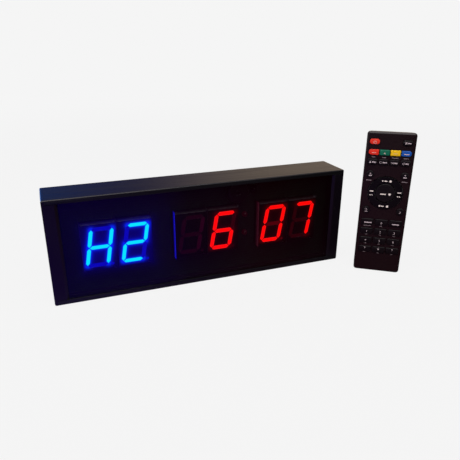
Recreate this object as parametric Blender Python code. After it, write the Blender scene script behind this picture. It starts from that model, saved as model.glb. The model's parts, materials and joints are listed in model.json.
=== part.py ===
"""Six-digit LED gym timer and its remote control, in metres with Z up.

The origin is the centre of the timer's base face, and the timer's window faces -Y.
The remote control stands upright on its bottom end beside the timer, on the same surface.
"""

import math

import bmesh
import bpy
from mathutils import Vector

# Gaps that the pieces keep
CLEAR = 0.0003               # between pieces that seat on each other
CUT_OVER = 0.0010            # how far a cutter passes the face that it cuts
JOIN_OVER = 0.0005           # how far two joined shapes reach into each other

# Timer case: an aluminium extrusion, open at the front, closed by two end caps
CASE_LENGTH = 0.290
CASE_HEIGHT = 0.099
CASE_DEPTH = 0.040
CASE_WALL = 0.0015
CASE_CORNER = 0.0010         # radius of the four long edges
LIP_TOP = 0.0043             # the case's top face down to the window's visible edge
LIP_BOTTOM = 0.0045
LIP_THICK = 0.0015
RIB_HEIGHT = 0.0016          # groove ribs for the window and the board
RIB_THICK = 0.0010
SCREW_AXIS = 0.0050          # end-cap screw's axis, from the case's top or bottom face
SCREW_PORT_DROP = 0.0040     # screw port's bore, behind the board's rear rib
PORT_WALL = 0.0012
PORT_SLIT = 0.0014           # the screw port is open along one side

# End caps and their screws
CAP_FLANGE = 0.0025
CAP_EDGE = 0.0014            # radius round the flange's outer face
BAND_WIDTH = 0.0126          # the cap's part of the front, from the case's end
BAND_SLOPE = 0.0024          # its sloped inner edge, down to the window
BAND_WALL = 0.0020
BAND_RETURN = 0.0100         # the band's inner wall, front to back
TONGUE_LENGTH = 0.0070       # tongue along the case's back wall
TONGUE_THICK = 0.0020
TONGUE_END = 0.0100          # tongue's ends, from the case's top and bottom faces
SCREW_RADIUS = 0.0012
SCREW_LENGTH = 0.0100
SCREW_HEAD_RADIUS = 0.0025
SCREW_HEAD_THICK = 0.0013
SCREW_HEAD_SINK = 0.0002

# Window, board and the digit modules
WINDOW_THICK = 0.0020
BOARD_THICK = 0.0016
BOARD_END_GAP = 0.0020       # board's end to the end cap's flange
MODULE_PITCH = 0.0318
MODULE_HEIGHT = 0.0480
MODULE_DEPTH = 0.0113
MODULE_SET_BACK = 0.0042     # module faces, behind the case's front plane
MODULE_MARGIN = 0.0155       # outer modules, in from the end caps' bands
DIGIT_HEIGHT = 0.0381
DIGIT_WIDTH = 0.0221
DIGIT_LEAN = 10.0            # degrees
SEGMENT_WIDTH = 0.0039
SEGMENT_GAP = 0.00035
SEGMENT_SINK = 0.0006
POINT_RADIUS = 0.0014
POINT_OFFSET = 0.0042        # decimal point, from the right strokes' centreline

# Small parts on the board
LAMP_RADIUS = 0.0025
LAMP_HEIGHT = 0.0040
LAMP_RIM = 0.0003
LAMP_SPREAD = 0.0097         # each colon lamp, above or below the digits' centre
BUZZER_RADIUS = 0.0105
BUZZER_HEIGHT = 0.0085
BUZZER_X = 0.0328
BUZZER_HOLE = 0.0016
RECEIVER_WIDTH = 0.0056
RECEIVER_HEIGHT = 0.0070
RECEIVER_DEPTH = 0.0032
RECEIVER_LENS = 0.0021
RECEIVER_GAP = 0.0050        # receiver, beside the buzzer
SOCKET_IN = 0.0370            # socket's axis, in from the case's right end
SOCKET_Z = 0.0220
SOCKET_WIDTH = 0.0130
SOCKET_BORE = 0.0032
SOCKET_BORE_DEPTH = 0.0095
SOCKET_PIN = 0.0010
SOCKET_PIN_SINK = 0.0015
PLUG_HOLE = 0.00575          # hole in the case for the plug's sleeve

# Keyhole slots in the case's back
KEYHOLE_IN = 0.0500           # each keyhole, in from the case's end
KEYHOLE_DROP = 0.0240        # round part's centre, from the case's top
KEYHOLE_RADIUS = 0.00425
KEYHOLE_SLOT = 0.0022        # half the slot's width
KEYHOLE_RISE = 0.0080

# Remote control: where it stands, and its case
REMOTE_X = 0.1669
REMOTE_Y = -0.0593
REMOTE_TURN = 35.2           # degrees, clockwise from above
REMOTE_WIDTH = 0.0445
REMOTE_LENGTH = 0.1425
REMOTE_CORNER = 0.0027
REMOTE_WALL = 0.0015
FACE_THICK = 0.0013
FACE_EDGE = 0.0015           # chamfer round the face
FACE_EDGE_DEPTH = 0.0012
REMOTE_THIN = 0.0125         # whole thickness at the top end
BACK_CORNER = 0.0040         # radius of the back's long edges
BACK_SLOPE = 0.0200          # from the battery bulge to the thin part
BULGE_ABOVE = 0.0060         # bulge's end, above the battery door

# Stack of pieces inside the remote, front to back
KEY_FLANGE = 0.0008
KEY_TRAVEL = 0.0008
MAT_THICK = 0.0008
REMOTE_BOARD_THICK = 0.0008
BAY_FLOOR = 0.0008

# Keys, in rows from the top end down
KEY_PROUD = 0.0009
KEY_BEVEL = 0.0003
KEY_LEDGE = 0.0006           # flange behind the case, beyond the key
KEY_CORNER = 0.0010
FIELD_MARGIN = 0.0030        # keys' outer edges, in from the remote's side
TOP_MARGIN = 0.0069
OVAL_WIDTH = 0.0090
OVAL_HEIGHT = 0.0049
OVAL_TO_COLOUR = 0.0050
COLOUR_HEIGHT = 0.0051
COLOUR_GAP = 0.0008
COLOUR_END_RADIUS = 0.0023
COLOUR_TO_MODE = 0.0039
MODE_HEIGHT = 0.0055
KEY_GAP = 0.0014
NAV_SPACE = 0.0111           # above and below the navigation ring
NAV_RADIUS = 0.01635
NAV_GAP = 0.0004             # round the ring
NAV_THICK = 0.0017
NAV_TILT = 3.0               # degrees, each way
NAV_SPARE = 0.4              # degrees more that the pad's crowns leave free
ENTER_RADIUS = 0.0091
ENTER_GAP = 0.0005
ROUND_RADIUS = 0.0034
ROUND_OFFSET = 0.0180        # round keys, above and below the ring's centre
KEYPAD_HEIGHT = 0.00625
KEYPAD_PITCH = 0.00976

# Battery bay and its door
BATTERY_RADIUS = 0.0051
BATTERY_LENGTH = 0.0445
BATTERY_NUB_RADIUS = 0.0026
BATTERY_NUB_HEIGHT = 0.0009
BATTERY_EDGE = 0.0004
BATTERY_GAP = 0.0006         # between the two batteries
BAY_SIDE = 0.0006            # bay wall to battery
BAY_BOTTOM = 0.0185          # bay's lower end, above the remote's bottom end
CONTACT_THICK = 0.0004
CONTACT_WIDTH = 0.0088
CONTACT_BUMP = 0.0012
SPRING_WIRE = 0.0003         # radius
SPRING_HEIGHT = 0.0040
SPRING_TURNS = 3.0
SPRING_WIDE = 0.0036
SPRING_NARROW = 0.0022
DOOR_THICK = 0.0012
DOOR_LAP = 0.0030            # door beyond the bay, each way
DOOR_CORNER = 0.0015
DOOR_SWEEP = 0.0004          # gap under the door, for its lower edge as it tilts
BAY_LAND = 0.0012            # case beyond the door's recess

# Infrared emitter in the remote's top end
EMITTER_RADIUS = 0.0015
EMITTER_LENGTH = 0.0060
EMITTER_BEHIND = 0.0030      # its axis, behind the joint of the remote's two cases

# Facets
CORNER_STEPS = 2
ROUND_SIDES = 16
RING_SIDES = 32
SMALL_SIDES = 12

# Finishes: colour, roughness, metallic
FINISHES = {
    "anodised_aluminium": ((0.030, 0.030, 0.034), 0.38, 0.85),
    "black_plastic": ((0.018, 0.017, 0.019), 0.45, 0.0),
    "tinted_acrylic": ((0.020, 0.012, 0.020), 0.06, 0.0),
    "board": ((0.015, 0.030, 0.022), 0.50, 0.0),
    "module_black": ((0.012, 0.012, 0.014), 0.55, 0.0),
    "lamp_red": ((0.30, 0.02, 0.02), 0.25, 0.0),
    "zinc_steel": ((0.45, 0.45, 0.47), 0.35, 1.0),
    "battery_jacket": ((0.10, 0.11, 0.12), 0.35, 0.3),
    "remote_plastic": ((0.020, 0.016, 0.019), 0.42, 0.0),
    "key_black": ((0.022, 0.022, 0.024), 0.60, 0.0),
    "key_red": ((0.72, 0.08, 0.05), 0.50, 0.0),
    "key_green": ((0.02, 0.22, 0.16), 0.50, 0.0),
    "key_yellow": ((0.80, 0.58, 0.03), 0.50, 0.0),
    "key_blue": ((0.02, 0.12, 0.42), 0.50, 0.0),
    "silicone": ((0.05, 0.05, 0.06), 0.70, 0.0),
    "emitter_clear": ((0.05, 0.02, 0.06), 0.15, 0.0),
}

# Places that follow from the sizes, in the timer
FRONT_Y = -CASE_DEPTH / 2
BACK_Y = CASE_DEPTH / 2
BACK_INSIDE_Y = BACK_Y - CASE_WALL
CASE_END = CASE_LENGTH / 2
EXTRUSION_END = CASE_END - CAP_FLANGE - CLEAR
KEYHOLE_X = CASE_END - KEYHOLE_IN
SOCKET_X = CASE_END - SOCKET_IN
WINDOW_Y = FRONT_Y + LIP_THICK + CLEAR
WINDOW_RIB_Y = WINDOW_Y + WINDOW_THICK + CLEAR
BAND_INSIDE = CASE_END - BAND_WIDTH
MODULE_FACE_Y = FRONT_Y + MODULE_SET_BACK
BOARD_Y = MODULE_FACE_Y + MODULE_DEPTH + CLEAR
BOARD_BACK_Y = BOARD_Y + BOARD_THICK
BOARD_RIB_Y = BOARD_BACK_Y + CLEAR
PORT_BORE = SCREW_RADIUS + CLEAR
PORT_RADIUS = PORT_BORE + PORT_WALL
PORT_Y = BOARD_RIB_Y + RIB_THICK + SCREW_PORT_DROP
DISPLAY_Z = (LIP_BOTTOM + CASE_HEIGHT - LIP_TOP) / 2
PAIR_PITCH = BAND_INSIDE - MODULE_MARGIN - MODULE_PITCH
ABOVE_DIGITS_Z = (DISPLAY_Z + MODULE_HEIGHT / 2 + CASE_HEIGHT - CASE_WALL - RIB_HEIGHT) / 2

# Places that follow from the sizes, in the remote: depth Y behind the face, height Z
FLANGE_Y = FACE_THICK + CLEAR
FLANGE_BACK_Y = FLANGE_Y + KEY_FLANGE
MAT_Y = FLANGE_BACK_Y + KEY_TRAVEL + CLEAR
REMOTE_BOARD_Y = MAT_Y + MAT_THICK + CLEAR
SPLIT_Y = REMOTE_BOARD_Y + REMOTE_BOARD_THICK
BACK_CASE_Y = SPLIT_Y + CLEAR
BAY_Y = BACK_CASE_Y + BAY_FLOOR
BATTERY_Y = BAY_Y + CLEAR + BATTERY_RADIUS
DOOR_Y = BATTERY_Y + BATTERY_RADIUS + CLEAR
REMOTE_THICK = DOOR_Y + DOOR_THICK
BATTERY_X = BATTERY_RADIUS + BATTERY_GAP / 2
BAY_HALF = BATTERY_X + BATTERY_RADIUS + BAY_SIDE
CONTACT_END = CLEAR + CONTACT_THICK + CLEAR
SPRING_END = CONTACT_END + SPRING_HEIGHT
BATTERY_BOTTOM = BAY_BOTTOM + SPRING_END
BAY_TOP = BATTERY_BOTTOM + BATTERY_LENGTH + SPRING_END
DOOR_HALF = BAY_HALF + DOOR_LAP
DOOR_BOTTOM = BAY_BOTTOM - DOOR_LAP
DOOR_TOP = BAY_TOP + DOOR_LAP
KEY_FIELD = REMOTE_WIDTH - 2 * FIELD_MARGIN
OVAL_Z = REMOTE_LENGTH - TOP_MARGIN - OVAL_HEIGHT / 2
COLOUR_Z = OVAL_Z - OVAL_HEIGHT / 2 - OVAL_TO_COLOUR - COLOUR_HEIGHT / 2
MODE_Z = COLOUR_Z - COLOUR_HEIGHT / 2 - COLOUR_TO_MODE - MODE_HEIGHT / 2
NAV_Z = MODE_Z - MODE_HEIGHT / 2 - NAV_SPACE - NAV_RADIUS
KEYPAD_Z = NAV_Z - NAV_RADIUS - NAV_SPACE - KEYPAD_HEIGHT / 2
NAV_HOLE = ENTER_RADIUS + ENTER_GAP
NAV_PAD_Y = NAV_THICK - KEY_PROUD + CLEAR
NAV_PAD_BACK_Y = MAT_Y - CLEAR
NAV_PIVOT_Y = (NAV_PAD_Y + NAV_PAD_BACK_Y) / 2


def on_x(outline, x):
    """Place an outline of (y, z) points at x."""
    return [(x, y, z) for y, z in outline]


def on_y(outline, y):
    """Place an outline of (x, z) points at y."""
    return [(x, y, z) for x, z in outline]


def on_z(outline, z):
    """Place an outline of (x, y) points at z."""
    return [(x, y, z) for x, y in outline]


def arc(centre, radius, start, end, steps):
    """Points along an arc, both ends included. The angles are in degrees."""
    angles = [math.radians(start + (end - start) * i / steps) for i in range(steps + 1)]
    return [(centre[0] + radius * math.cos(a), centre[1] + radius * math.sin(a)) for a in angles]


def circle(radius, sides, centre=(0.0, 0.0)):
    """Corners of a circle."""
    return arc(centre, radius, 0, 360 - 360 / sides, sides - 1)


def rounded(low, high, radii, steps=CORNER_STEPS):
    """Outline of a rounded rectangle between two corners, anticlockwise from lower left.

    radii is one radius, or those of the lower left, lower right, upper right and upper left.
    """
    if not isinstance(radii, tuple):
        radii = (radii,) * 4
    corners = [(low[0], low[1]), (high[0], low[1]), (high[0], high[1]), (low[0], high[1])]
    inward = [(1, 1), (-1, 1), (-1, -1), (1, -1)]
    points = []
    for turn, (corner, way, radius) in enumerate(zip(corners, inward, radii)):
        centre = (corner[0] + way[0] * radius, corner[1] + way[1] * radius)
        points += arc(centre, radius, 180 + 90 * turn, 270 + 90 * turn, steps)
    return points


def box_outline(width, height, radii, steps=CORNER_STEPS):
    """Outline of a rounded rectangle about its centre."""
    return rounded((-width / 2, -height / 2), (width / 2, height / 2), radii, steps)


def material(finish):
    """The Principled material of a finish, made when it is first asked for."""
    found = bpy.data.materials.get(finish)
    if found:
        return found
    colour, roughness, metallic = FINISHES[finish]
    made = bpy.data.materials.new(finish)
    made.use_nodes = True
    shader = made.node_tree.nodes["Principled BSDF"]
    shader.inputs["Base Color"].default_value = (*colour, 1.0)
    shader.inputs["Roughness"].default_value = roughness
    shader.inputs["Metallic"].default_value = metallic
    made.diffuse_color = (*colour, 1.0)
    return made


def solid(name, bm, finish=None):
    """Turn a bmesh into an object, with its faces outwards. A cutter has no finish."""
    bmesh.ops.recalc_face_normals(bm, faces=bm.faces)
    mesh = bpy.data.meshes.new(name)
    bm.to_mesh(mesh)
    bm.free()
    mesh.shade_smooth()
    mesh.set_sharp_from_angle(angle=math.radians(35))
    made = bpy.data.objects.new(name, mesh)
    bpy.context.scene.collection.objects.link(made)
    if finish:
        mesh.materials.append(material(finish))
    return made


def loft(name, sections, finish=None):
    """A closed solid through outlines with equal numbers of points."""
    bm = bmesh.new()
    rings = [[bm.verts.new(point) for point in section] for section in sections]
    count = len(rings[0])
    for near, far in zip(rings, rings[1:]):
        for i in range(count):
            bm.faces.new((near[i], near[i - 1], far[i - 1], far[i]))
    bm.faces.new(rings[0])
    bm.faces.new(rings[-1])
    return solid(name, bm, finish)


def spun_ring(name, profile, sides, finish=None):
    """A ring about the Y axis. profile(angle) gives its cross-section as (radius, y) points."""
    bm = bmesh.new()
    rings = []
    for i in range(sides):
        angle = 2 * math.pi * i / sides
        rings.append([
            bm.verts.new((r * math.cos(angle), y, r * math.sin(angle))) for r, y in profile(angle)
        ])
    for i, ring in enumerate(rings):
        before = rings[i - 1]
        for k in range(len(ring)):
            bm.faces.new((before[k - 1], before[k], ring[k], ring[k - 1]))
    return solid(name, bm, finish)


def combine(body, tool, operation):
    """Cut a closed tool out of a body (DIFFERENCE) or join it on (UNION), and remove the tool."""
    modifier = body.modifiers.new(operation.lower(), "BOOLEAN")
    modifier.operation = operation
    modifier.solver = "EXACT"
    modifier.object = tool
    bpy.context.view_layer.update()
    bpy.context.view_layer.objects.active = body
    bpy.ops.object.modifier_apply(modifier=modifier.name)
    bpy.data.objects.remove(tool)
    return body


def screw_port():
    """The case's screw port, front foot to back foot: a boss with a bore open along one side."""
    centre = (PORT_Y, SCREW_AXIS)
    outer_gap = math.degrees(math.asin(PORT_SLIT / 2 / PORT_RADIUS))
    inner_gap = math.degrees(math.asin(PORT_SLIT / 2 / PORT_BORE))
    return (
        [(PORT_Y - PORT_RADIUS, CASE_WALL)]
        + arc(centre, PORT_RADIUS, 180, 90 + outer_gap, 4)
        + arc(centre, PORT_BORE, 90 + inner_gap, 450 - inner_gap, SMALL_SIDES)
        + arc(centre, PORT_RADIUS, 90 - outer_gap, 0, 4)
        + [(PORT_Y + PORT_RADIUS, CASE_WALL)]
    )


def wall_inside(lip):
    """Inner side of the top or bottom wall, front to back: (y, distance from its outer face)."""
    points = [(FRONT_Y, lip), (FRONT_Y + LIP_THICK, lip), (FRONT_Y + LIP_THICK, CASE_WALL)]
    rib_top = CASE_WALL + RIB_HEIGHT
    for y in (WINDOW_RIB_Y, BOARD_Y - CLEAR - RIB_THICK, BOARD_RIB_Y):
        points += [(y, CASE_WALL), (y, rib_top), (y + RIB_THICK, rib_top), (y + RIB_THICK, CASE_WALL)]
    return points + screw_port() + [(BACK_INSIDE_Y, CASE_WALL)]


def case_section():
    """The extrusion's cross-section as (y, z) points."""
    outside = []
    for turn, (y, z) in enumerate((
        (FRONT_Y + CASE_CORNER, CASE_CORNER),
        (BACK_Y - CASE_CORNER, CASE_CORNER),
        (BACK_Y - CASE_CORNER, CASE_HEIGHT - CASE_CORNER),
        (FRONT_Y + CASE_CORNER, CASE_HEIGHT - CASE_CORNER),
    )):
        outside += arc((y, z), CASE_CORNER, 180 + 90 * turn, 270 + 90 * turn, 3)
    top = [(y, CASE_HEIGHT - h) for y, h in wall_inside(LIP_TOP)]
    bottom = [(y, h) for y, h in reversed(wall_inside(LIP_BOTTOM))]
    return outside + top + bottom


def keyhole(x):
    """Cutter for a keyhole slot, whose narrow part rises from its round part."""
    z = CASE_HEIGHT - KEYHOLE_DROP
    half = math.degrees(math.asin(KEYHOLE_SLOT / KEYHOLE_RADIUS))
    outline = (
        arc((x, z), KEYHOLE_RADIUS, 90 + half, 450 - half, SMALL_SIDES)
        + arc((x, z + KEYHOLE_RISE), KEYHOLE_SLOT, 0, 180, 6)
    )
    return loft("keyhole", [on_y(outline, BACK_INSIDE_Y - CUT_OVER), on_y(outline, BACK_Y + CUT_OVER)])


def build_case():
    section = case_section()
    case = loft(
        "case_extrusion", [on_x(section, -EXTRUSION_END), on_x(section, EXTRUSION_END)], "anodised_aluminium"
    )
    for x in (-KEYHOLE_X, KEYHOLE_X):
        combine(case, keyhole(x), "DIFFERENCE")
    hole = circle(PLUG_HOLE, ROUND_SIDES, (SOCKET_X, SOCKET_Z))
    cutter = loft("plug_hole", [on_y(hole, BACK_INSIDE_Y - CUT_OVER), on_y(hole, BACK_Y + CUT_OVER)])
    combine(case, cutter, "DIFFERENCE")


def end_cap(name, side):
    """A moulded end cap: flange, L-shaped front band and a tongue. side is -1 or 1."""
    face = rounded((FRONT_Y, 0), (BACK_Y, CASE_HEIGHT), CASE_CORNER, 3)
    inner = CASE_END - CAP_FLANGE
    sections = [on_x(face, side * inner)]
    for turn in (0, 30, 60, 90):
        inset = CAP_EDGE * (1 - math.cos(math.radians(turn)))
        back = CAP_EDGE * (1 - math.sin(math.radians(turn)))
        low, high = (FRONT_Y + inset, inset), (BACK_Y - inset, CASE_HEIGHT - inset)
        outline = rounded(low, high, max(CASE_CORNER - inset, 0.0003), 3)
        sections.append(on_x(outline, side * (CASE_END - back)))
    cap = loft(name, sections, "black_plastic")
    into_flange = inner + JOIN_OVER
    band = [
        (side * x, y) for x, y in (
            (into_flange, FRONT_Y),
            (BAND_INSIDE + BAND_SLOPE, FRONT_Y),
            (BAND_INSIDE, WINDOW_Y),
            (BAND_INSIDE, FRONT_Y + BAND_RETURN),
            (BAND_INSIDE + BAND_WALL, FRONT_Y + BAND_RETURN),
            (BAND_INSIDE + BAND_WALL, WINDOW_Y + BAND_WALL),
            (into_flange, WINDOW_Y + BAND_WALL),
        )
    ]
    low, high = LIP_BOTTOM + CLEAR, CASE_HEIGHT - LIP_TOP - CLEAR
    combine(cap, loft("band", [on_z(band, low), on_z(band, high)]), "UNION")
    tongue_back = BACK_INSIDE_Y - CLEAR
    tongue = [
        (tongue_back - TONGUE_THICK, TONGUE_END),
        (tongue_back, TONGUE_END),
        (tongue_back, CASE_HEIGHT - TONGUE_END),
        (tongue_back - TONGUE_THICK, CASE_HEIGHT - TONGUE_END),
    ]
    reach = [on_x(tongue, side * (inner - TONGUE_LENGTH)), on_x(tongue, side * into_flange)]
    combine(cap, loft("tongue", reach), "UNION")
    seat = CASE_END - SCREW_HEAD_SINK - SCREW_HEAD_THICK - CLEAR
    wide, narrow = SCREW_HEAD_RADIUS + CLEAR, SCREW_RADIUS + CLEAR
    for z in (SCREW_AXIS, CASE_HEIGHT - SCREW_AXIS):
        steps = ((inner - CUT_OVER, narrow), (seat, narrow), (seat, wide), (CASE_END + CUT_OVER, wide))
        rings = [on_x(circle(r, ROUND_SIDES, (PORT_Y, z)), side * x) for x, r in steps]
        combine(cap, loft("screw_hole", rings), "DIFFERENCE")


def cap_screw(name, side, z):
    """A pan-head screw, with its origin on its axis at the case's end."""
    head_out = -SCREW_HEAD_SINK
    head_in = head_out - SCREW_HEAD_THICK
    tip = head_in - SCREW_LENGTH
    profile = (
        (tip, SCREW_RADIUS / 2),
        (tip + SCREW_RADIUS, SCREW_RADIUS),
        (head_in, SCREW_RADIUS),
        (head_in, SCREW_HEAD_RADIUS),
        (head_in + SCREW_HEAD_THICK / 2, SCREW_HEAD_RADIUS),
        (head_out, SCREW_HEAD_RADIUS * 0.7),
    )
    rings = [on_x(circle(radius, SMALL_SIDES), side * x) for x, radius in profile]
    screw = loft(name, rings, "zinc_steel")
    screw.location = (side * CASE_END, PORT_Y, z)


def plate(name, low, high, thickness, finish, corner=0.0005):
    """A flat piece facing -Y, between two (x, z) corners. Its origin is its front centre."""
    width, height = high[0] - low[0], high[1] - low[1]
    outline = box_outline(width, height, corner, 1)
    made = loft(name, [on_y(outline, 0.0), on_y(outline, thickness)], finish)
    made.location.x = (low[0] + high[0]) / 2
    made.location.z = (low[1] + high[1]) / 2
    return made


def segment(start, end):
    """A digit's stroke between two corners of the figure: a bar with pointed ends."""
    start, end = Vector(start), Vector(end)
    along = (end - start).normalized()
    side = Vector((-along.y, along.x)) * SEGMENT_WIDTH / 2
    shoulder = along * SEGMENT_WIDTH / 2
    first, last = start + along * SEGMENT_GAP, end - along * SEGMENT_GAP
    return [
        first, first + shoulder - side, last - shoulder - side,
        last, last - shoulder + side, first + shoulder + side,
    ]


def digit_marks():
    """Outlines of the seven strokes and the decimal point, about the digit's centre."""
    x = (DIGIT_WIDTH - SEGMENT_WIDTH) / 2
    z = (DIGIT_HEIGHT - SEGMENT_WIDTH) / 2
    strokes = [
        ((-x, z), (x, z)), ((-x, 0), (x, 0)), ((-x, -z), (x, -z)),
        ((-x, 0), (-x, z)), ((x, 0), (x, z)), ((-x, -z), (-x, 0)), ((x, -z), (x, 0)),
    ]
    marks = [segment(start, end) for start, end in strokes]
    marks.append(circle(POINT_RADIUS, SMALL_SIDES, (x + POINT_OFFSET, POINT_RADIUS - DIGIT_HEIGHT / 2)))
    lean = math.tan(math.radians(DIGIT_LEAN))
    return [[(px + pz * lean, pz) for px, pz in mark] for mark in marks]


def build_digits():
    """Six equal digit modules in three pairs, numbered from the left."""
    outline = box_outline(MODULE_PITCH - CLEAR, MODULE_HEIGHT, 0.0004, 1)
    module = loft("digit_1", [on_y(outline, 0.0), on_y(outline, MODULE_DEPTH)], "module_black")
    for mark in digit_marks():
        recess = loft("recess", [on_y(mark, -CUT_OVER), on_y(mark, SEGMENT_SINK)])
        combine(module, recess, "DIFFERENCE")
    places = [
        pair * PAIR_PITCH + side * MODULE_PITCH / 2 for pair in (-1, 0, 1) for side in (-1, 1)
    ]
    for number, x in enumerate(places, 1):
        if number > 1:
            module = bpy.data.objects.new(f"digit_{number}", module.data)
            bpy.context.scene.collection.objects.link(module)
        module.location = (x, MODULE_FACE_Y, DISPLAY_Z)


def on_board(name, profile, x, z, finish, sides=ROUND_SIDES):
    """A round part that stands on the board's front. profile is (height off the board, radius)."""
    made = loft(name, [on_y(circle(r, sides), -height) for height, r in profile], finish)
    made.location = (x, BOARD_Y - CLEAR, z)
    return made


def build_board():
    end = CASE_END - CAP_FLANGE - BOARD_END_GAP
    low = CASE_WALL + CLEAR
    high = CASE_HEIGHT - CASE_WALL - CLEAR
    plate("display_board", (-end, low), (end, high), BOARD_THICK, "board").location.y = BOARD_Y
    dome = [
        (LAMP_HEIGHT - LAMP_RADIUS + LAMP_RADIUS * math.sin(math.radians(a)),
         LAMP_RADIUS * math.cos(math.radians(a)))
        for a in (0, 30, 60, 80)
    ]
    rim = LAMP_RADIUS + LAMP_RIM
    lamp = [(0.0, rim), (2 * LAMP_RIM, rim), (2 * LAMP_RIM, LAMP_RADIUS)] + dome
    for name, way in (("colon_lamp_upper", 1), ("colon_lamp_lower", -1)):
        on_board(name, lamp, PAIR_PITCH / 2, DISPLAY_Z + way * LAMP_SPREAD, "lamp_red", SMALL_SIDES)
    buzzer = [
        (0.0, BUZZER_RADIUS),
        (BUZZER_HEIGHT - RIB_THICK, BUZZER_RADIUS),
        (BUZZER_HEIGHT, BUZZER_RADIUS - RIB_THICK),
        (BUZZER_HEIGHT, BUZZER_HOLE),
        (BUZZER_HEIGHT / 2, BUZZER_HOLE),
    ]
    on_board("buzzer", buzzer, BUZZER_X, ABOVE_DIGITS_Z, "black_plastic")


def build_receiver():
    """Infrared receiver: a small block with a domed lens."""
    outline = box_outline(RECEIVER_WIDTH, RECEIVER_HEIGHT, 0.0004, 1)
    receiver = loft(
        "infrared_receiver", [on_y(outline, 0.0), on_y(outline, -RECEIVER_DEPTH)], "black_plastic"
    )
    dome = [
        on_y(circle(RECEIVER_LENS * math.cos(a), SMALL_SIDES), -RECEIVER_DEPTH - RECEIVER_LENS * math.sin(a))
        for a in (math.radians(d) for d in (0, 30, 60, 80))
    ]
    root = on_y(circle(RECEIVER_LENS, SMALL_SIDES), -RECEIVER_DEPTH + JOIN_OVER)
    combine(receiver, loft("lens", [root] + dome), "UNION")
    x = BUZZER_X + BUZZER_RADIUS + RECEIVER_GAP + RECEIVER_WIDTH / 2
    receiver.location = (x, BOARD_Y - CLEAR, ABOVE_DIGITS_Z)


def build_socket():
    """Barrel power socket on the board's back, with its origin at its mouth."""
    depth = BACK_INSIDE_Y - CLEAR - BOARD_BACK_Y - CLEAR
    outline = box_outline(SOCKET_WIDTH, SOCKET_WIDTH, 0.0005, 1)
    socket = loft("power_socket", [on_y(outline, -depth), on_y(outline, 0.0)], "black_plastic")
    steps = (
        (CUT_OVER, SOCKET_BORE),
        (-SOCKET_BORE_DEPTH, SOCKET_BORE),
        (-SOCKET_BORE_DEPTH, SOCKET_PIN),
        (-SOCKET_PIN_SINK, SOCKET_PIN),
    )
    bore = loft("bore", [on_y(circle(r, ROUND_SIDES), y) for y, r in steps])
    combine(socket, bore, "DIFFERENCE")
    socket.location = (SOCKET_X, BACK_INSIDE_Y - CLEAR, SOCKET_Z)


def build_timer():
    build_case()
    for name, side in (("left", -1), ("right", 1)):
        end_cap(f"end_cap_{name}", side)
        cap_screw(f"end_cap_screw_{name}_top", side, CASE_HEIGHT - SCREW_AXIS)
        cap_screw(f"end_cap_screw_{name}_bottom", side, SCREW_AXIS)
    end = BAND_INSIDE - CLEAR
    low = CASE_WALL + CLEAR
    high = CASE_HEIGHT - CASE_WALL - CLEAR
    window = plate("front_window", (-end, low), (end, high), WINDOW_THICK, "tinted_acrylic")
    window.location.y = WINDOW_Y
    build_board()
    build_digits()
    build_receiver()
    build_socket()


def face_outline(inset):
    """The remote's outline seen from the front, drawn in by an inset."""
    radius = max(REMOTE_CORNER - inset, 0.0005)
    half = REMOTE_WIDTH / 2 - inset
    return rounded((-half, inset), (half, REMOTE_LENGTH - inset), radius, 3)


def back_depth(z):
    """The remote's thickness at a height: full over the battery bay, thinner at the top."""
    start = DOOR_TOP + BULGE_ABOVE
    share = min(max((z - start) / BACK_SLOPE, 0.0), 1.0)
    ease = share * share * (3 - 2 * share)
    return REMOTE_THICK + (REMOTE_THIN - REMOTE_THICK) * ease


def back_sections(inset, front):
    """Cross-sections of the back case from end to end, drawn in by an inset."""
    radius = max(REMOTE_CORNER - inset, 0.0005)
    ends = [(radius * (1 - math.cos(a)), radius * (1 - math.sin(a))) for a in (
        math.radians(30 * step) for step in range(4)
    )]
    start = DOOR_TOP + BULGE_ABOVE
    rows = [(inset + up, inn) for up, inn in ends]
    rows += [(start + BACK_SLOPE * step / 5, 0.0) for step in range(6)]
    rows += [(REMOTE_LENGTH - inset - up, inn) for up, inn in reversed(ends)]
    sections = []
    for z, inn in rows:
        half = REMOTE_WIDTH / 2 - inset - inn
        back = back_depth(z) - inset - inn / 2
        corner = BACK_CORNER - inset
        outline = rounded((-half, front), (half, back), (0.0002, 0.0002, corner, corner), 3)
        sections.append(on_z(outline, z))
    return sections


def row(count, gap):
    """Centres and width of keys spread evenly across the key field."""
    width = (KEY_FIELD - (count - 1) * gap) / count
    return [(i - (count - 1) / 2) * (width + gap) for i in range(count)], width


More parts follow.
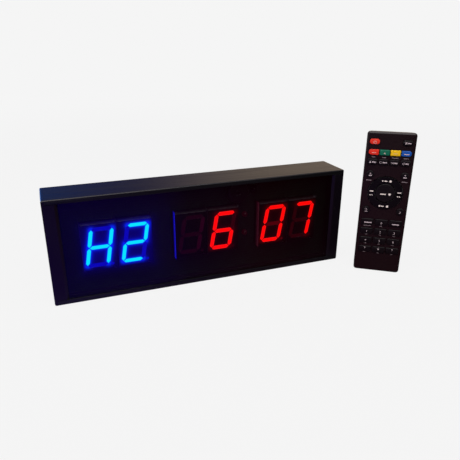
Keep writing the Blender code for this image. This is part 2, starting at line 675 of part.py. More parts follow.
def key_rows():
    """Every plain key: name, centre, its outline, flange, top and opening about it, finish."""
    keys = []

    def add(name, x, z, width, height, radii, finish, steps=CORNER_STEPS):
        outline = box_outline(width, height, radii, steps)
        flange = box_outline(width, height + 2 * KEY_LEDGE, radii, steps)
        top = box_outline(width - 2 * KEY_BEVEL, height - 2 * KEY_BEVEL, radii, steps)
        opening = box_outline(width + 2 * CLEAR, height + 2 * CLEAR, radii, steps)
        keys.append((name, (x, z), outline, flange, top, opening, finish))

    def add_round(name, x, z):
        rings = [circle(ROUND_RADIUS + more, ROUND_SIDES) for more in (0.0, KEY_LEDGE, -KEY_BEVEL, CLEAR)]
        keys.append((name, (x, z), *rings, "key_black"))

    oval_x = (KEY_FIELD - OVAL_WIDTH) / 2
    oval_end = OVAL_HEIGHT * 0.45
    add("power_key", -oval_x, OVAL_Z, OVAL_WIDTH, OVAL_HEIGHT, oval_end, "key_red", 4)
    add("edit_key", oval_x, OVAL_Z, OVAL_WIDTH, OVAL_HEIGHT, oval_end, "key_black", 4)
    places, width = row(4, COLOUR_GAP)
    end, square = COLOUR_END_RADIUS, 0.0004
    shapes = ((end, square, square, end), square, square, (square, end, end, square))
    for colour, x, radii in zip(("red", "green", "yellow", "blue"), places, shapes):
        add(f"{colour}_key", x, COLOUR_Z, width, COLOUR_HEIGHT, radii, f"key_{colour}")
    places, width = row(4, KEY_GAP)
    for number, x in enumerate(places, 1):
        add(f"mode_key_{number}", x, MODE_Z, width, MODE_HEIGHT, KEY_CORNER, "key_black")
    round_x = KEY_FIELD / 2 - ROUND_RADIUS
    add_round("up_key", -round_x, NAV_Z + ROUND_OFFSET)
    add_round("down_key", round_x, NAV_Z + ROUND_OFFSET)
    add_round("home_key", -round_x, NAV_Z - ROUND_OFFSET)
    add_round("mute_key", round_x, NAV_Z - ROUND_OFFSET)
    places, width = row(3, KEY_GAP)
    names = ("left_function_key", "key_0", "right_function_key") + tuple(f"key_{n}" for n in range(1, 10))
    for index, name in enumerate(names):
        z = KEYPAD_Z - KEYPAD_PITCH * (index // 3)
        add(name, places[index % 3], z, width, KEYPAD_HEIGHT, KEY_CORNER, "key_black")
    return keys


def build_key(name, place, outline, flange, top, opening, finish):
    """A key with a flange that holds it behind the case. Its origin is on the face plane."""
    key = loft(name, [
        on_y(flange, FLANGE_BACK_Y),
        on_y(flange, FLANGE_Y),
        on_y(outline, FLANGE_Y),
        on_y(outline, KEY_BEVEL - KEY_PROUD),
        on_y(top, -KEY_PROUD),
    ], finish)
    key.location = (place[0], 0.0, place[1])
    return key


def aperture(outline, place):
    """Cutter for an opening in the remote's face."""
    moved = [(x + place[0], z + place[1]) for x, z in outline]
    return loft("aperture", [on_y(moved, -CUT_OVER), on_y(moved, FACE_THICK + CUT_OVER)])


def build_top_case(keys):
    """The remote's front shell: a tray with an opening for each key."""
    case = loft("remote_top_case", [
        on_y(face_outline(FACE_EDGE), 0.0),
        on_y(face_outline(0.0), FACE_EDGE_DEPTH),
        on_y(face_outline(0.0), SPLIT_Y),
    ], "remote_plastic")
    inside = face_outline(REMOTE_WALL)
    combine(case, loft("inside", [on_y(inside, FACE_THICK), on_y(inside, SPLIT_Y + CUT_OVER)]), "DIFFERENCE")
    for name, place, outline, flange, top, opening, finish in keys:
        if not name.startswith(("red", "green", "yellow", "blue")):
            combine(case, aperture(opening, place), "DIFFERENCE")
    end = COLOUR_END_RADIUS + CLEAR
    slot = box_outline(KEY_FIELD + 2 * CLEAR, COLOUR_HEIGHT + 2 * CLEAR, end, CORNER_STEPS)
    combine(case, aperture(slot, (0.0, COLOUR_Z)), "DIFFERENCE")
    combine(case, aperture(circle(NAV_RADIUS + NAV_GAP, RING_SIDES), (0.0, NAV_Z)), "DIFFERENCE")
    return case


def build_bottom_case():
    """The remote's back shell, with the walled battery bay, its door recess and the emitter's hole."""
    case = loft("remote_bottom_case", back_sections(0.0, BACK_CASE_Y), "remote_plastic")
    combine(case, loft("inside", back_sections(REMOTE_WALL, BACK_CASE_Y - CUT_OVER)), "DIFFERENCE")
    land = DOOR_HALF + CLEAR + BAY_LAND
    block = rounded(
        (-land, DOOR_BOTTOM - DOOR_SWEEP - BAY_LAND), (land, DOOR_TOP + CLEAR + BAY_LAND), DOOR_CORNER, 1
    )
    wall = REMOTE_THICK - REMOTE_WALL / 2
    combine(case, loft("bay_block", [on_y(block, BACK_CASE_Y), on_y(block, wall)]), "UNION")
    bay = rounded((-BAY_HALF, BAY_BOTTOM), (BAY_HALF, BAY_TOP), DOOR_CORNER / 2, 1)
    combine(case, loft("bay", [on_y(bay, BAY_Y), on_y(bay, REMOTE_THICK + CUT_OVER)]), "DIFFERENCE")
    side = DOOR_HALF + CLEAR
    recess = rounded((-side, DOOR_BOTTOM - DOOR_SWEEP), (side, DOOR_TOP + CLEAR), DOOR_CORNER, 2)
    floor = DOOR_Y - CLEAR
    combine(case, loft("recess", [on_y(recess, floor), on_y(recess, REMOTE_THICK + CUT_OVER)]), "DIFFERENCE")
    hole = circle(EMITTER_RADIUS + CLEAR, SMALL_SIDES, (0.0, SPLIT_Y + EMITTER_BEHIND))
    low, high = REMOTE_LENGTH - REMOTE_WALL - CUT_OVER, REMOTE_LENGTH + CUT_OVER
    combine(case, loft("emitter_hole", [on_z(hole, low), on_z(hole, high)]), "DIFFERENCE")
    return case


def build_navigation():
    """Ring, its rocking pad and the enter key. Ring and pad have their origins at the pivot."""
    front = -KEY_PROUD - NAV_PIVOT_Y
    back = front + NAV_THICK
    ring_section = [
        (NAV_HOLE, back), (NAV_HOLE, front + KEY_BEVEL), (NAV_HOLE + KEY_BEVEL, front),
        (NAV_RADIUS - 2 * KEY_BEVEL, front), (NAV_RADIUS, front + 2 * KEY_BEVEL), (NAV_RADIUS, back),
    ]
    ring = spun_ring("nav_ring", lambda angle: ring_section, RING_SIDES, "key_black")
    slope = math.tan(math.radians(NAV_TILT + NAV_SPARE))

    def pad_section(angle):
        """The pad's front falls away above and below its pivot, its back to the left and right."""
        points = []
        for r in (NAV_HOLE, NAV_RADIUS):
            points.append((r, NAV_PAD_Y - NAV_PIVOT_Y + slope * abs(r * math.sin(angle))))
        for r in (NAV_RADIUS, NAV_HOLE):
            points.append((r, NAV_PAD_BACK_Y - NAV_PIVOT_Y - slope * abs(r * math.cos(angle))))
        return points

    pad = spun_ring("nav_pad", pad_section, RING_SIDES, "silicone")
    for piece in (ring, pad):
        piece.location = (0.0, NAV_PIVOT_Y, NAV_Z)
    steps = (
        (FLANGE_BACK_Y, ENTER_RADIUS), (KEY_BEVEL - KEY_PROUD, ENTER_RADIUS),
        (-KEY_PROUD, ENTER_RADIUS - KEY_BEVEL),
    )
    enter = loft("enter_key", [on_y(circle(r, RING_SIDES), y) for y, r in steps], "key_black")
    enter.location.z = NAV_Z
    return [ring, pad, enter]


def build_battery(name, x, up):
    """A cell standing in the bay, with its origin at its middle. up is 1 with its nub on top."""
    half = BATTERY_LENGTH / 2
    profile = (
        (-half, BATTERY_RADIUS - BATTERY_EDGE),
        (-half + BATTERY_EDGE, BATTERY_RADIUS),
        (half - BATTERY_NUB_HEIGHT - BATTERY_EDGE, BATTERY_RADIUS),
        (half - BATTERY_NUB_HEIGHT, BATTERY_RADIUS - BATTERY_EDGE),
        (half - BATTERY_NUB_HEIGHT, BATTERY_NUB_RADIUS),
        (half, BATTERY_NUB_RADIUS),
    )
    rings = [on_z(circle(r, ROUND_SIDES), up * z) for z, r in profile]
    battery = loft(name, rings, "battery_jacket")
    shift = (SPRING_END - CONTACT_END - CONTACT_BUMP) / 2
    battery.location = (x, BATTERY_Y, BATTERY_BOTTOM + half + up * shift)
    return battery


def spring_coil(x, up):
    """A conical coil that narrows away from its contact plate. up is the way that it points."""
    steps_per_turn, sides = 10, 5
    count = int(SPRING_TURNS * steps_per_turn)
    rise = SPRING_HEIGHT - SPRING_WIRE
    sections = []
    for i in range(count + 1):
        share = i / count
        angle = 2 * math.pi * SPRING_TURNS * share
        radius = SPRING_WIDE + (SPRING_NARROW - SPRING_WIDE) * share
        out = Vector((math.cos(angle), math.sin(angle), 0.0))
        centre = out * radius + Vector((x, 0.0, up * rise * share))
        sections.append([
            tuple(centre + out * SPRING_WIRE * math.cos(b) + Vector((0, 0, SPRING_WIRE * math.sin(b))))
            for b in (2 * math.pi * k / sides for k in range(sides))
        ])
    return loft("coil", sections)


def bump(x, up):
    """A raised contact point on a contact plate."""
    wide = BATTERY_NUB_RADIUS
    rings = ((-CONTACT_THICK / 2, wide), (0.0, wide), (CONTACT_BUMP, wide / 2))
    return loft("bump", [on_z(circle(r, SMALL_SIDES, (x, 0.0)), up * z) for z, r in rings])


def contact(name, z, up, features, half):
    """A contact plate across the bay. Its origin is on the face that its coil or bump stands on."""
    height = BATTERY_RADIUS * 0.8
    outline = rounded((-half, -height), (half, height), 0.0005, 1)
    made = loft(name, [on_z(outline, 0.0), on_z(outline, -up * CONTACT_THICK)], "zinc_steel")
    for feature in features:
        combine(made, feature, "UNION")
    made.location = (0.0, BATTERY_Y, z)
    return made


def build_contacts():
    """Bridge contact under both cells, and one contact above each."""
    wide = BATTERY_X + CONTACT_WIDTH / 2
    low = BAY_BOTTOM + CLEAR + CONTACT_THICK
    high = BAY_TOP - CLEAR - CONTACT_THICK
    bridge = contact(
        "battery_bridge", low, 1, (spring_coil(-BATTERY_X, 1), bump(BATTERY_X, 1)), wide
    )
    flat = contact("battery_contact", high, -1, (bump(0.0, -1),), CONTACT_WIDTH / 2)
    flat.location.x = -BATTERY_X
    spring = contact("battery_spring", high, -1, (spring_coil(0.0, -1),), CONTACT_WIDTH / 2)
    spring.location.x = BATTERY_X
    return [bridge, flat, spring]


def build_door():
    """Battery door that tilts on its lower edge, where its origin is."""
    mid = DOOR_THICK / 2
    outline = rounded((-DOOR_HALF, -mid), (DOOR_HALF, DOOR_TOP - DOOR_BOTTOM - mid), DOOR_CORNER, 2)
    door = loft("battery_door", [on_y(outline, -mid), on_y(outline, mid)], "remote_plastic")
    door.location = (0.0, DOOR_Y + mid, DOOR_BOTTOM + mid)
    return door


def build_inside():
    """The key mat, the circuit board and the infrared emitter."""
    pieces = []
    inset = REMOTE_WALL + CLEAR
    half = REMOTE_WIDTH / 2 - inset
    for name, y, thickness, finish in (
        ("remote_key_mat", MAT_Y, MAT_THICK, "silicone"),
        ("remote_circuit_board", REMOTE_BOARD_Y, REMOTE_BOARD_THICK, "board"),
    ):
        piece = plate(name, (-half, inset), (half, REMOTE_LENGTH - inset), thickness, finish, REMOTE_WALL)
        piece.location.y = y
        pieces.append(piece)
    flange = EMITTER_RADIUS + 2 * CLEAR
    seat = REMOTE_WALL + CLEAR
    profile = (
        (-EMITTER_LENGTH, flange), (-seat, flange), (-seat, EMITTER_RADIUS),
        (-EMITTER_RADIUS / 2, EMITTER_RADIUS), (0.0, EMITTER_RADIUS * 0.6),
    )
    emitter = loft("remote_emitter", [on_z(circle(r, SMALL_SIDES), z) for z, r in profile], "emitter_clear")
    emitter.location = (0.0, SPLIT_Y + EMITTER_BEHIND, REMOTE_LENGTH)
    return pieces + [emitter]


def build_remote():
    """The remote, modelled upright with its face at y = 0, then stood beside the timer."""
    keys = key_rows()
    pieces = [build_top_case(keys), build_bottom_case(), build_door()]
    pieces += build_inside() + build_contacts() + build_navigation()
    pieces += [build_battery("battery_left", -BATTERY_X, 1), build_battery("battery_right", BATTERY_X, -1)]
    pieces += [build_key(*key) for key in keys]
    stand = bpy.data.objects.new("remote_stand", None)
    bpy.context.scene.collection.objects.link(stand)
    stand.location = (REMOTE_X, REMOTE_Y, 0.0)
    stand.rotation_euler.z = -math.radians(REMOTE_TURN)
    for piece in pieces:
        piece.parent = stand


def clear_scene():
    for old in list(bpy.data.objects):
        bpy.data.objects.remove(old)


clear_scene()
build_timer()
build_remote()
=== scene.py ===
"""Looks of a six-digit LED gym timer and its remote control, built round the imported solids.

Everything is in metres with Z up. The timer's window faces -Y, and the remote stands upright beside it.
"""

import json
import math

import bmesh
import bpy
from mathutils import Matrix, Vector


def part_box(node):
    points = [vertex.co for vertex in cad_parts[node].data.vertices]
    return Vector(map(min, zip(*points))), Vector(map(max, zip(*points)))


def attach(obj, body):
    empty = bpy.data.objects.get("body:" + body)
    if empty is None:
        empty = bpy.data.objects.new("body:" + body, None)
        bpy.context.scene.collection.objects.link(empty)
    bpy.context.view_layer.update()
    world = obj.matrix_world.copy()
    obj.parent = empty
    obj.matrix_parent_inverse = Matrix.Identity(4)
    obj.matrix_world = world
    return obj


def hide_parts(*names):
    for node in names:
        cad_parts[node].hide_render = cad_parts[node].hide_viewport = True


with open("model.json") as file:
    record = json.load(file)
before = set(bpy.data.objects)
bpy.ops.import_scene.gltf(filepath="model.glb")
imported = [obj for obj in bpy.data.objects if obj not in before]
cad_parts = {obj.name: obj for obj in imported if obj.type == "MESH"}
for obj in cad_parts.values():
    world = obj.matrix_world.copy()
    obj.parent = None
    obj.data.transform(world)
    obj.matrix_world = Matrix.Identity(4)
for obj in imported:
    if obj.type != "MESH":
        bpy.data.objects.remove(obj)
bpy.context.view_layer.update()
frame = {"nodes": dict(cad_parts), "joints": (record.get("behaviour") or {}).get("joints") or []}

# Camera, at the photograph's viewpoint
CAMERA_AT = (-0.13675, -0.43552, 0.22934)
CAMERA_YAW = 20.842          # degrees, from +Y towards +X
CAMERA_PITCH = 21.907        # degrees down
CAMERA_ROLL = 0.24
CAMERA_LENS = 38.886         # mm, on a sensor 36 mm wide

# Floor and room
FLOOR_SIZE = 12.0
PALE = 0.913                 # the floor's brightness, the same to the horizon
FLOOR_LIT = 0.044            # the share of it that lamps give near the object, and shadows take away
FLOOR_GREY = 0.028           # its own colour for that light
FLOOR_FADE = (0.45, 1.4)     # that light fades between these distances from the middle
FLOOR_BOUNCE = 0.004         # its colour for light that it throws on the object
BEHIND_BOUNCE = 0.70         # what it throws on the object's back and sides
BEHIND_FADE = (-0.06, 0.12)  # where that takes over, from front to back
POOL_MIDDLE = (-0.10, -0.14, 0.0)   # of the digits' light on the floor
POOL_FADE = (0.17, 0.34)
POOL_TURN = (-0.15, 0.07)    # where it turns from blue to red, from left to right
ROOM_ABOVE = 0.15            # brightness of the room overhead
ABOVE_FADE = (0.40, 0.80)

# Small distances
MERGE = 0.000001             # points closer than this are one
HAIR = 0.00002               # places closer than this count as the same
STEP = 0.00001               # height of a square step in a turned profile
MM = 0.001

# Edges
CASE_EDGE = 0.000072         # rounding of the extrusion's edges
CAP_SOFT = 0.0002            # of an end cap's edges
FINE_EDGE = 0.00012          # of all other edges
SHARP_TURN = 34.0            # degrees: edges that turn more stay crisp
CAP_ROUND = 0.0008           # rounding of an end cap's outer face
CAP_GAP = 0.0003             # what the solids leave free between an end cap and the extrusion

# Digit modules
FIGURES = ("bcefg", "abged", "", "acdefg", "abcdef", "abc")
BLUE_DIGITS = (1, 2)
MODULE_TRIM = 0.0023         # the visible module is this much shorter at its top and bottom
FACE_DEPTH = 0.0012          # what lies deeper behind a module's face is its body
RECESS_DEPTHS = (0.0001, 0.002)   # the recesses' floors lie between these depths
POINT_SIZE = 0.004           # a decimal point is smaller than this, and a stroke larger
MIDDLE_STROKE = 0.005        # stroke g lies closer to the middle than this
STROKE_HALF = 0.0012         # half a stroke's width
LENS_RISE = 0.00045          # lens above the floor of its recess
LENS_RIM = 0.0002            # rounding of a lens
LENS_EDGE = 0.00036          # width of a lit lens's darker edge
TIP_REACH = 0.0013           # how far a stroke's bright tips reach
TIP_LIGHT = 0.8              # share of the core's light there
LAMP_RIM = 0.0003            # a colon lamp's rim, out from its dome
LAMP_FOOT = 0.0006           # its height

# Light that the digits throw on what surrounds them
FACE_GRID = 0.0008           # mesh spacing of the module's face
HAZE_GRID = 0.0022           # mesh spacing of the window
WINDOW_TINT = 0.37           # the share of light that each of the window's two faces holds back
HALO_REACH = 0.0028          # how far a lit pair's light creeps across the window
PAIR_HALO = Vector((0.0, 0.0, 0.034))   # its colour, for the blue pair
GLOW_STRENGTH = 2.0          # what the colours that the modules carry are multiplied by
SIDE_DEPTH = 0.0075          # how far back light reaches on a module's sides
FACE_REACH = 0.0042          # how far a lit stroke's light spreads over the module's face
EDGE_REACH = 0.0011          # and how far its bright fringe does
SPILL = 0.22                 # share of it that reaches the whole face
FADE_ACROSS, FADE_UP = 0.6, 1.6   # how fast it fades beside the figure, and above and below it
NEXT_TO_LIT = 2.0            # a blank digit's strokes beside a lit one are this much brighter

# Remote
MARK_THICK = 0.00003
MARK_LIFT = 0.00001
DASH_TALL = 0.7              # mm, a dash on the face
LARGE_CORNER = 0.002         # corners above this radius are rounded more finely
KEY_FRONT = -0.0003          # a key's front part ends this far before the face
KEY_RIM = 0.0003             # rounding of a key's front edge
RING_GAP = 0.0005            # between the ring and the enter key
RING_SLICE = 0.0005          # half the height of the block that the ring is spun from
RING_EDGE = 0.0004
END_RIM = 0.0012             # where the top end starts to fall, from the face
END_STEP = 0.0002            # points from this far behind it are turned
END_TALL = 0.004             # and only in this much of the remote's top
END_SLOPE = 7.5              # degrees
EMITTER_DROP = 0.0009

# Battery door: grip grooves and an arrow below them, cut into its outer face
GROOVES = 6
GROOVE_START = 0.008         # the first groove, down from the door's top
GROOVE_PITCH = 0.0016
GROOVE_HALF = (0.0065, 0.0004)   # half its width and height
GROOVE_DEPTH = 0.00045
ARROW_RADIUS = 0.0030
ARROW_DROP = 0.0225          # its middle, down from the door's top
ARROW_DEPTH = 0.0003
CUT_OVER = 0.001             # cutters reach this far past the surface

# Batteries: how far the copper jacket and the bare metal ends reach
COPPER_SHARE = 0.30
PLUS_METAL = 0.0013
MINUS_METAL = 0.0004
JACKET_BLUR = 0.00005


def pick(*pieces):
    """Select only these pieces, the first one active. Without pieces, deselect everything."""
    bpy.ops.object.select_all(action="DESELECT")
    for piece in pieces:
        piece.select_set(True)
    if pieces:
        bpy.context.view_layer.objects.active = pieces[0]


def enter_edit(piece):
    """Open a piece in edit mode, with nothing selected."""
    pick(piece)
    bpy.ops.object.mode_set(mode="EDIT")
    bpy.ops.mesh.select_all(action="DESELECT")


def leave_edit():
    bpy.ops.object.mode_set(mode="OBJECT")


def select_parts(kind, test):
    """In edit mode, select the vertices, edges or faces that pass a test."""
    mesh = bpy.context.object.data
    bpy.ops.mesh.select_mode(type=kind)
    bpy.ops.mesh.select_all(action="DESELECT")
    bm = bmesh.from_edit_mesh(mesh)
    for part in {"VERT": bm.verts, "EDGE": bm.edges, "FACE": bm.faces}[kind]:
        if test(part):
            part.select_set(True)
    bmesh.update_edit_mesh(mesh)


def select_faces(test):
    """In edit mode, select the faces whose centre and normal pass a test."""
    select_parts("FACE", lambda face: test(face.calc_center_median(), face.normal))


def select_edges(test):
    """In edit mode, select the edges whose ends both pass a test."""
    select_parts("EDGE", lambda edge: all(test(vertex.co) for vertex in edge.verts))


def settle(piece):
    """Apply a piece's place, turn and size to its mesh."""
    pick(piece)
    bpy.ops.object.transform_apply(location=True, rotation=True, scale=True)
    return piece


def smooth(piece):
    pick(piece)
    bpy.ops.object.shade_smooth_by_angle(angle=math.radians(SHARP_TURN))
    return piece


def apply(piece, kind, **settings):
    """Add a modifier with its settings, and apply it."""
    modifier = piece.modifiers.new(kind.lower(), kind)
    for key, value in settings.items():
        setattr(modifier, key, value)
    pick(piece)
    bpy.ops.object.modifier_apply(modifier=modifier.name)


def soften(piece, width, segments=2, turn=SHARP_TURN):
    """Round a piece's sharp edges and shade the rest smooth."""
    apply(piece, "BEVEL", width=width, segments=segments, limit_method="ANGLE",
          angle_limit=math.radians(turn), miter_outer="MITER_ARC")
    smooth(piece)
    apply(piece, "WEIGHTED_NORMAL", keep_sharp=True)
    return piece


def cut(piece, tool):
    """Cut a closed tool out of a piece, and remove the tool."""
    apply(piece, "BOOLEAN", operation="DIFFERENCE", object=tool)
    bpy.data.objects.remove(tool)
    return piece


def copy_of(piece, name):
    """A copy of a piece with its own mesh."""
    made = bpy.data.objects.new(name, piece.data.copy())
    bpy.context.scene.collection.objects.link(made)
    return made


def replica(node, name):
    """A copy of a solid, with its loose triangles joined into whole faces."""
    made = copy_of(frame["nodes"][node], name)
    made.data.materials.clear()
    enter_edit(made)
    bpy.ops.mesh.select_all(action="SELECT")
    bpy.ops.mesh.customdata_custom_splitnormals_clear()
    bpy.ops.mesh.remove_doubles(threshold=MERGE)
    bpy.ops.mesh.dissolve_limited(angle_limit=math.radians(0.5))
    leave_edit()
    return made


def join(name, pieces):
    """Join pieces into one."""
    pick(*pieces)
    if len(pieces) > 1:
        bpy.ops.object.join()
    pieces[0].name = name
    return pieces[0]


def box(name, low, high):
    """A block between two corners."""
    low, high = Vector(low), Vector(high)
    pick()
    bpy.ops.mesh.primitive_cube_add(size=1.0, location=(low + high) / 2)
    made = bpy.context.object
    made.name = name
    made.scale = high - low
    return settle(made)


def turned(name, steps, sides=48):
    """A round piece about Z: a short cylinder whose end is extruded through (height, radius) steps."""
    (start, radius), (height, top) = steps[:2]
    middle = (0, 0, (start + height) / 2)
    pick()
    bpy.ops.mesh.primitive_cone_add(
        vertices=sides, radius1=radius, radius2=top, depth=height - start, location=middle
    )
    made = bpy.context.object
    made.name = name
    settle(made)
    enter_edit(made)
    select_faces(lambda centre, normal: centre.z > height - MERGE and normal.z > 0.9)
    for (here, wide), (there, narrow) in zip(steps[1:], steps[2:]):
        bpy.ops.mesh.extrude_region_move(TRANSFORM_OT_translate={"value": (0, 0, there - here)})
        ratio = narrow / wide
        bpy.ops.transform.resize(value=(ratio, ratio, 1.0), center_override=(0, 0, there))
    leave_edit()
    return smooth(made)


def turn_to_front(piece, x, y, z):
    """Point a piece made along +Z towards -Y, and put its origin at a place."""
    piece.matrix_world = Matrix.Translation((x, y, z)) @ Matrix.Rotation(math.radians(90), 4, "X")
    return settle(piece)


def ride(piece, body, material, replaces=()):
    """Finish a piece: its material, its body and the solids that it stands for."""
    piece.data.materials.clear()
    piece.data.materials.append(material)
    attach(piece, body)
    if replaces:
        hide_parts(*replaces)
    return piece


def dress_copy(node, name, body, material, change=None, edge=FINE_EDGE, segments=2):
    """Stand a softened copy in for a solid, changed in some way first."""
    piece = replica(node, name)
    if change:
        change(piece)
    ride(soften(piece, edge, segments), body, material, [node])


def paint(node, material):
    """Give a solid that stays in view its material."""
    for slot in frame["nodes"][node].material_slots:
        slot.link = "OBJECT"
        slot.material = material


# Shader nodes, and node groups for effects that several finishes share

def add(tree, kind, values=(), **settings):
    """A node with its settings, and with its inputs set to values or fed by other nodes' outputs."""
    node = tree.nodes.new("ShaderNode" + kind)
    for key, value in settings.items():
        setattr(node, key, value)
    for key, value in dict(values).items():
        if isinstance(value, bpy.types.NodeSocket):
            tree.links.new(value, node.inputs[key])
        else:
            node.inputs[key].default_value = value
    return node


def give(tree, kind, values=(), out=0, **settings):
    """Add a node, and return one of its outputs."""
    return add(tree, kind, values, **settings).outputs[out]


def blend(tree, share, first, second):
    """Mix two colours."""
    return give(tree, "Mix", {"A": first, "B": second, "Factor": share}, "Result", data_type="RGBA")


def stretch(tree, value, low, high, to_low=0.0, to_high=1.0, **settings):
    """Stretch a value from one range to another."""
    return give(tree, "MapRange", {
        "Value": value, "From Min": low, "From Max": high, "To Min": to_low, "To Max": to_high,
    }, **settings)


def new_group(name, **inputs):
    """An empty shader node group and its inputs."""
    tree = bpy.data.node_groups.new(name, "ShaderNodeTree")
    for label, value in {"Position": (0, 0, 0), **inputs}.items():
        kind = "NodeSocketVector" if label == "Position" else "NodeSocketFloat"
        tree.interface.new_socket(label, in_out="INPUT", socket_type=kind).default_value = value
    return tree, tree.nodes.new("NodeGroupInput").outputs


def close_group(tree, **outputs):
    """Join values to a group's outputs."""
    for label in outputs:
        tree.interface.new_socket(label, in_out="OUTPUT", socket_type="NodeSocketFloat")
    ends = tree.nodes.new("NodeGroupOutput").inputs
    for label, value in outputs.items():
        tree.links.new(value, ends[label])
    return tree


def noise(tree, place, scale, detail, roughness=0.5, distortion=0.0):
    return give(tree, "TexNoise", {
        "Vector": place, "Scale": scale, "Detail": detail, "Roughness": roughness, "Distortion": distortion,
    }, "Fac")


def make_grain():
    """Fine pits of moulded or anodised surfaces, with a slower unevenness."""
    tree, given = new_group("moulded grain", Size=0.0004)
    rate = give(tree, "Math", {0: 1.0, 1: given["Size"]}, operation="DIVIDE")
    return close_group(
        tree,
        Height=noise(tree, given["Position"], rate, 3.0, 0.6),
        Unevenness=noise(tree, given["Position"], 45.0, 4.0, 0.6),
    )


def make_brushed():
    """Fine straight lines along X, as on drawn and brushed aluminium."""
    tree, given = new_group("brushed lines", Fineness=2600.0)
    squeeze, wide = (
        give(tree, "Mapping", {"Vector": given["Position"], "Scale": (along, 1.0, 1.0)})
        for along in (0.012, 0.02)
    )
    return close_group(
        tree,
        Height=noise(tree, squeeze, given["Fineness"], 5.0, 0.7),
        Streak=noise(tree, wide, 420.0, 3.0, 0.6),
    )


def make_wear():
    """Where a surface turns sharply: 1 on an edge, broken up by handling. Edges lightened with it are partly
    wear and partly a painted highlight.
    """
    tree, given = new_group("edge wear and highlight", Width=0.0004)
    rounded = give(tree, "Bevel", {"Radius": given["Width"]}, samples=4)
    normal = give(tree, "NewGeometry", out="Normal")
    same = give(tree, "VectorMath", {0: rounded, 1: normal}, "Value", operation="DOT_PRODUCT")
    edge = stretch(tree, same, 0.995, 0.86)
    broken = stretch(tree, noise(tree, given["Position"], 160.0, 4.0), 0.38, 0.62, 0.25, 1.0)
    return close_group(tree, Mask=give(tree, "Math", {0: edge, 1: broken}, operation="MULTIPLY"))


def make_dust():
    """A thin scatter of dust specks and faint smears."""
    tree, given = new_group("dust")
    cells = add(tree, "TexVoronoi", {"Vector": given["Position"], "Scale": 190.0}).outputs
    near = stretch(tree, cells["Distance"], 0.055, 0.03)
    chance = give(tree, "SeparateColor", {0: cells["Color"]})
    few = give(tree, "Math", {0: chance, 1: 0.93}, operation="GREATER_THAN")
    return close_group(
        tree,
        Specks=give(tree, "Math", {0: near, 1: few}, operation="MULTIPLY"),
        Smears=noise(tree, given["Position"], 14.0, 5.0, 0.65, 0.6),
    )


GRAIN = make_grain()
BRUSHED = make_brushed()
WEAR_AND_HIGHLIGHT = make_wear()
DUST = make_dust()


def tone(red, green, blue):
    """A colour given as screen values of 0 to 255, as the renderer wants it."""
    def linear(value):
        share = value / 255
        return share / 12.92 if share <= 0.04045 else ((share + 0.055) / 1.055) ** 2.4
    return (linear(red), linear(green), linear(blue), 1.0)


class Finish:
    """A material with a Principled shader, and short ways to build up its surface."""

    def __init__(self, name, colour, roughness, metallic=0.0, **sockets):
        self.material = bpy.data.materials.new(name)
        self.material.use_nodes = True
        self.tree = self.material.node_tree
        self.inputs = self.tree.nodes["Principled BSDF"].inputs
        self.colour = colour
        self.roughness = roughness
        self.normal = None
        self.inputs["Base Color"].default_value = colour
        self.inputs["Roughness"].default_value = roughness
        self.inputs["Metallic"].default_value = metallic
        for key, value in sockets.items():
            self.inputs[key.replace("_", " ")].default_value = value
        self.position = give(self.tree, "TexCoord", out="Object")

    def feed(self, key, value):
        self.tree.links.new(value, self.inputs[key])

    def effect(self, group, **values):
        """Place a shared node group, and return its outputs."""
        return add(self.tree, "Group", {"Position": self.position, **values}, node_tree=group).outputs

    def along(self, axis):
        """Each point's place along an axis."""
        return give(self.tree, "SeparateXYZ", {0: self.position}, axis)

    def tint(self, value, colour, most, low=0.0, high=1.0):
        """Lay a colour over the base colour as a value goes from low to high, up to a share of it."""
        mask = stretch(self.tree, value, low, high, 0.0, most)
        self.colour = blend(self.tree, mask, self.colour, colour)
        self.feed("Base Color", self.colour)

    def vary_roughness(self, value, low, high, less, more):
        """Let the roughness follow a value, between less and more than the finish's own."""
        spread = stretch(self.tree, value, low, high, self.roughness - less, self.roughness + more)
        self.feed("Roughness", spread)

    def bump(self, height, distance):
        values = {"Height": height, "Distance": distance}
        if self.normal:
            values["Normal"] = self.normal
        self.normal = give(self.tree, "Bump", values)
        self.feed("Normal", self.normal)

    def grained(self, size, less, more, depth=0.0):
        """Make the roughness uneven and, with a depth, pit the surface. Returns the grain's outputs."""
        grain = self.effect(GRAIN, Size=size)
        self.vary_roughness(grain["Unevenness"], 0.35, 0.65, less, more)
        if depth:
            self.bump(grain["Height"], depth)
        return grain

    def attribute(self, name, out):
        return give(self.tree, "Attribute", out=out, attribute_name=name)

    def shine(self, colour, strength=1.0):
        """Let the surface shine by itself."""
        self.feed("Emission Color", colour)
        self.inputs["Emission Strength"].default_value = strength


def moulded(name, colour, roughness, depth=0.00002, edge_wear_and_highlight=None, **sockets):
    """A moulded plastic or rubber, grained, a little uneven and dusty, with edges lightened partly as wear
    and partly as a painted highlight.
    """
    finish = Finish(name, colour, roughness, **sockets)
    if edge_wear_and_highlight:
        # Lighter edges: partly wear, partly a painted highlight
        finish.tint(finish.effect(WEAR_AND_HIGHLIGHT, Width=0.0003)["Mask"], edge_wear_and_highlight, 0.5)
    finish.tint(finish.effect(DUST)["Specks"], tone(120, 114, 112), 0.35)
    finish.grained(0.0005, 0.02, 0.03, depth)
    return finish.material


def make_case_finish():
    """Black anodised aluminium, brushed lengthwise."""
    finish = Finish("black anodised aluminium", tone(43, 42, 46), 0.36, 0.9)
    brushed = finish.effect(BRUSHED)
    finish.tint(brushed["Streak"], tone(62, 60, 62), 0.5, 0.35, 0.7)
    # Lighter edges: partly wear, partly a painted highlight along them
    finish.tint(finish.effect(WEAR_AND_HIGHLIGHT, Width=0.0004)["Mask"], tone(70, 68, 74), 0.3)
    finish.tint(finish.effect(DUST)["Specks"], tone(130, 126, 122), 0.4)
    finish.vary_roughness(brushed["Streak"], 0.3, 0.7, 0.05, 0.08)
    finish.bump(brushed["Height"], 0.000012)
    finish.bump(finish.effect(GRAIN, Size=0.0003)["Height"], 0.000006)
    return finish.material


